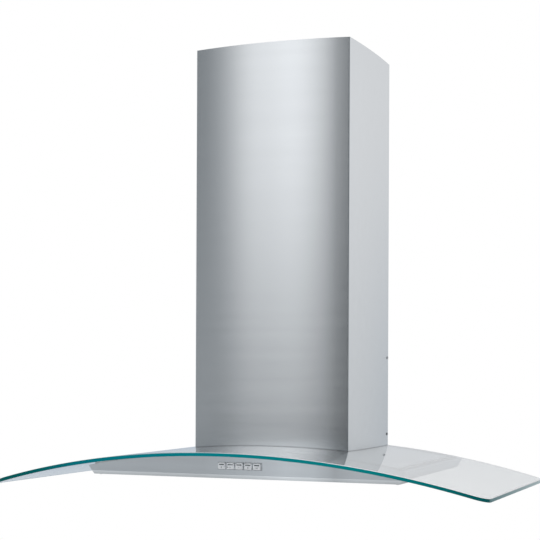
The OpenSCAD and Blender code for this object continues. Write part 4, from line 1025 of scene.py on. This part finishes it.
def studio_world():
    world = bpy.data.worlds.new("studio")
    bpy.context.scene.world = world
    world.use_nodes = True
    world.cycles.sampling_method = "NONE"
    tree = world.node_tree
    tree.nodes.clear()
    ray = add(tree, "LightPath")
    level = add(tree, "Mix", {"Factor": ray.outputs["Is Glossy Ray"], "B": studio_look(tree)},
                data_type="RGBA")
    level.inputs["A"].default_value = (PLAIN_LEVEL, PLAIN_LEVEL, PLAIN_LEVEL, 1)
    looked = add(tree, "Math", {0: ray.outputs["Is Camera Ray"], 1: ray.outputs["Is Transmission Ray"]},
                 operation="MAXIMUM").outputs[0]
    shown = add(tree, "Mix", {"Factor": looked, "A": level.outputs["Result"]}, data_type="RGBA")
    shown.inputs["B"].default_value = (1, 1, 1, 1)
    background = add(tree, "Background", {"Color": shown.outputs["Result"], "Strength": 1.0})
    output = tree.nodes.new("ShaderNodeOutputWorld")
    tree.links.new(background.outputs[0], output.inputs["Surface"])
    return world


print("world:", studio_world().name, "with a plain level of", PLAIN_LEVEL)

# %% [markdown]
# The floor lies where the hob would be. It receives the hood's soft shadow, and seen by the camera it
# is lifted to the white of the surround. From below it is see-through, so that the underside of the
# hood can be looked at as well.

# %% Floor
FLOOR_Z, FLOOR_R = -1.0, 3.0
SEEN_LIFT, MIRRORED_LIFT = 0.62, 0.15


def floor_finish():
    finish, tree, shader = start_finish("floor_white", (0.82, 0.82, 0.82), 0.0, 0.9)
    ray = add(tree, "LightPath")
    seen = add(tree, "Math", {0: ray.outputs["Is Camera Ray"], 1: ray.outputs["Is Transmission Ray"]},
               operation="MAXIMUM").outputs[0]
    mirrored = add(tree, "Math", {0: ray.outputs["Is Glossy Ray"], 1: MIRRORED_LIFT}, operation="MULTIPLY")
    lift = add(tree, "Math", {0: seen, 1: SEEN_LIFT, 2: mirrored.outputs[0]}, operation="MULTIPLY_ADD")
    glow = add(tree, "Emission", {"Color": (1, 1, 1, 1), "Strength": lift.outputs[0]})
    both = add(tree, "AddShader", {0: shader.outputs[0], 1: glow.outputs[0]})
    below = add(tree, "NewGeometry").outputs["Backfacing"]
    clear = add(tree, "BsdfTransparent")
    pick = add(tree, "MixShader", {0: below, 1: both.outputs[0], 2: clear.outputs[0]})
    output = next(n for n in tree.nodes if n.type == "OUTPUT_MATERIAL")
    tree.links.new(pick.outputs[0], output.inputs["Surface"])
    return finish


disc, floor = empty_piece("floor")
bmesh.ops.create_circle(disc, cap_ends=True, segments=96, radius=FLOOR_R,
                        matrix=Matrix.Translation((0, 0, FLOOR_Z)))
seal(disc, floor, [floor_finish()])
print("floor at", FLOOR_Z, "m")

# %% [markdown]
# Three large soft lamps: a key from the front left, a weaker fill from the right, and one from above.
# Large lamps give soft shadows, as in a product photograph. The steel doesn't mirror them, because the
# studio already holds everything that it should show.

# %% Lamps
def soft_lamp(name, place, aim, width, height, power):
    lamp = bpy.data.lights.new(name, "AREA")
    lamp.shape = "RECTANGLE"
    lamp.size = width
    lamp.size_y = height
    lamp.energy = power
    holder = bpy.data.objects.new(name, lamp)
    holder.location = place
    holder.rotation_euler = (Vector(aim) - Vector(place)).to_track_quat("-Z", "Y").to_euler()
    holder.visible_glossy = False
    bpy.context.scene.collection.objects.link(holder)
    return holder


lamps = [soft_lamp("key", (-1.1, -3.3, 1.5), (0, -0.2, 0.2), 1.2, 1.6, 38),
         soft_lamp("fill", (2.6, -2.2, 0.9), (0, -0.2, 0.1), 1.4, 1.4, 12),
         soft_lamp("top", (0.2, -0.9, 2.8), (0, -0.2, 0.1), 2.0, 1.4, 22)]
print("lamps:", [lamp.name for lamp in lamps])

# %% [markdown]
# The camera stands to the right of the hood and looks level, a little above the canopy. Its lens is
# shifted up rather than tilted, so that upright edges stay upright, and it is rolled by a quarter of a
# degree as the photograph is.

# %% Camera
YAW, ROLL = math.radians(22.69), math.radians(0.241)
camera_data = bpy.data.cameras.new("camera")
camera = bpy.data.objects.new("camera", camera_data)
camera_data.lens = 93.47
camera_data.sensor_width = 36.0
camera_data.shift_x = 0.06904
camera_data.shift_y = 0.18548
camera_data.clip_end = 60.0
camera.location = (0.92569, -2.64237, -0.02211)
camera.rotation_mode = "XYZ"
camera.matrix_world = (Matrix.Translation(camera.location) @ Matrix.Rotation(YAW, 4, "Z")
                       @ Matrix.Rotation(math.pi / 2, 4, "X") @ Matrix.Rotation(ROLL, 4, "Z"))
bpy.context.scene.collection.objects.link(camera)
bpy.context.scene.camera = camera
bpy.context.scene.view_settings.view_transform = "Standard"
print("camera at", tuple(round(v, 3) for v in camera.location))
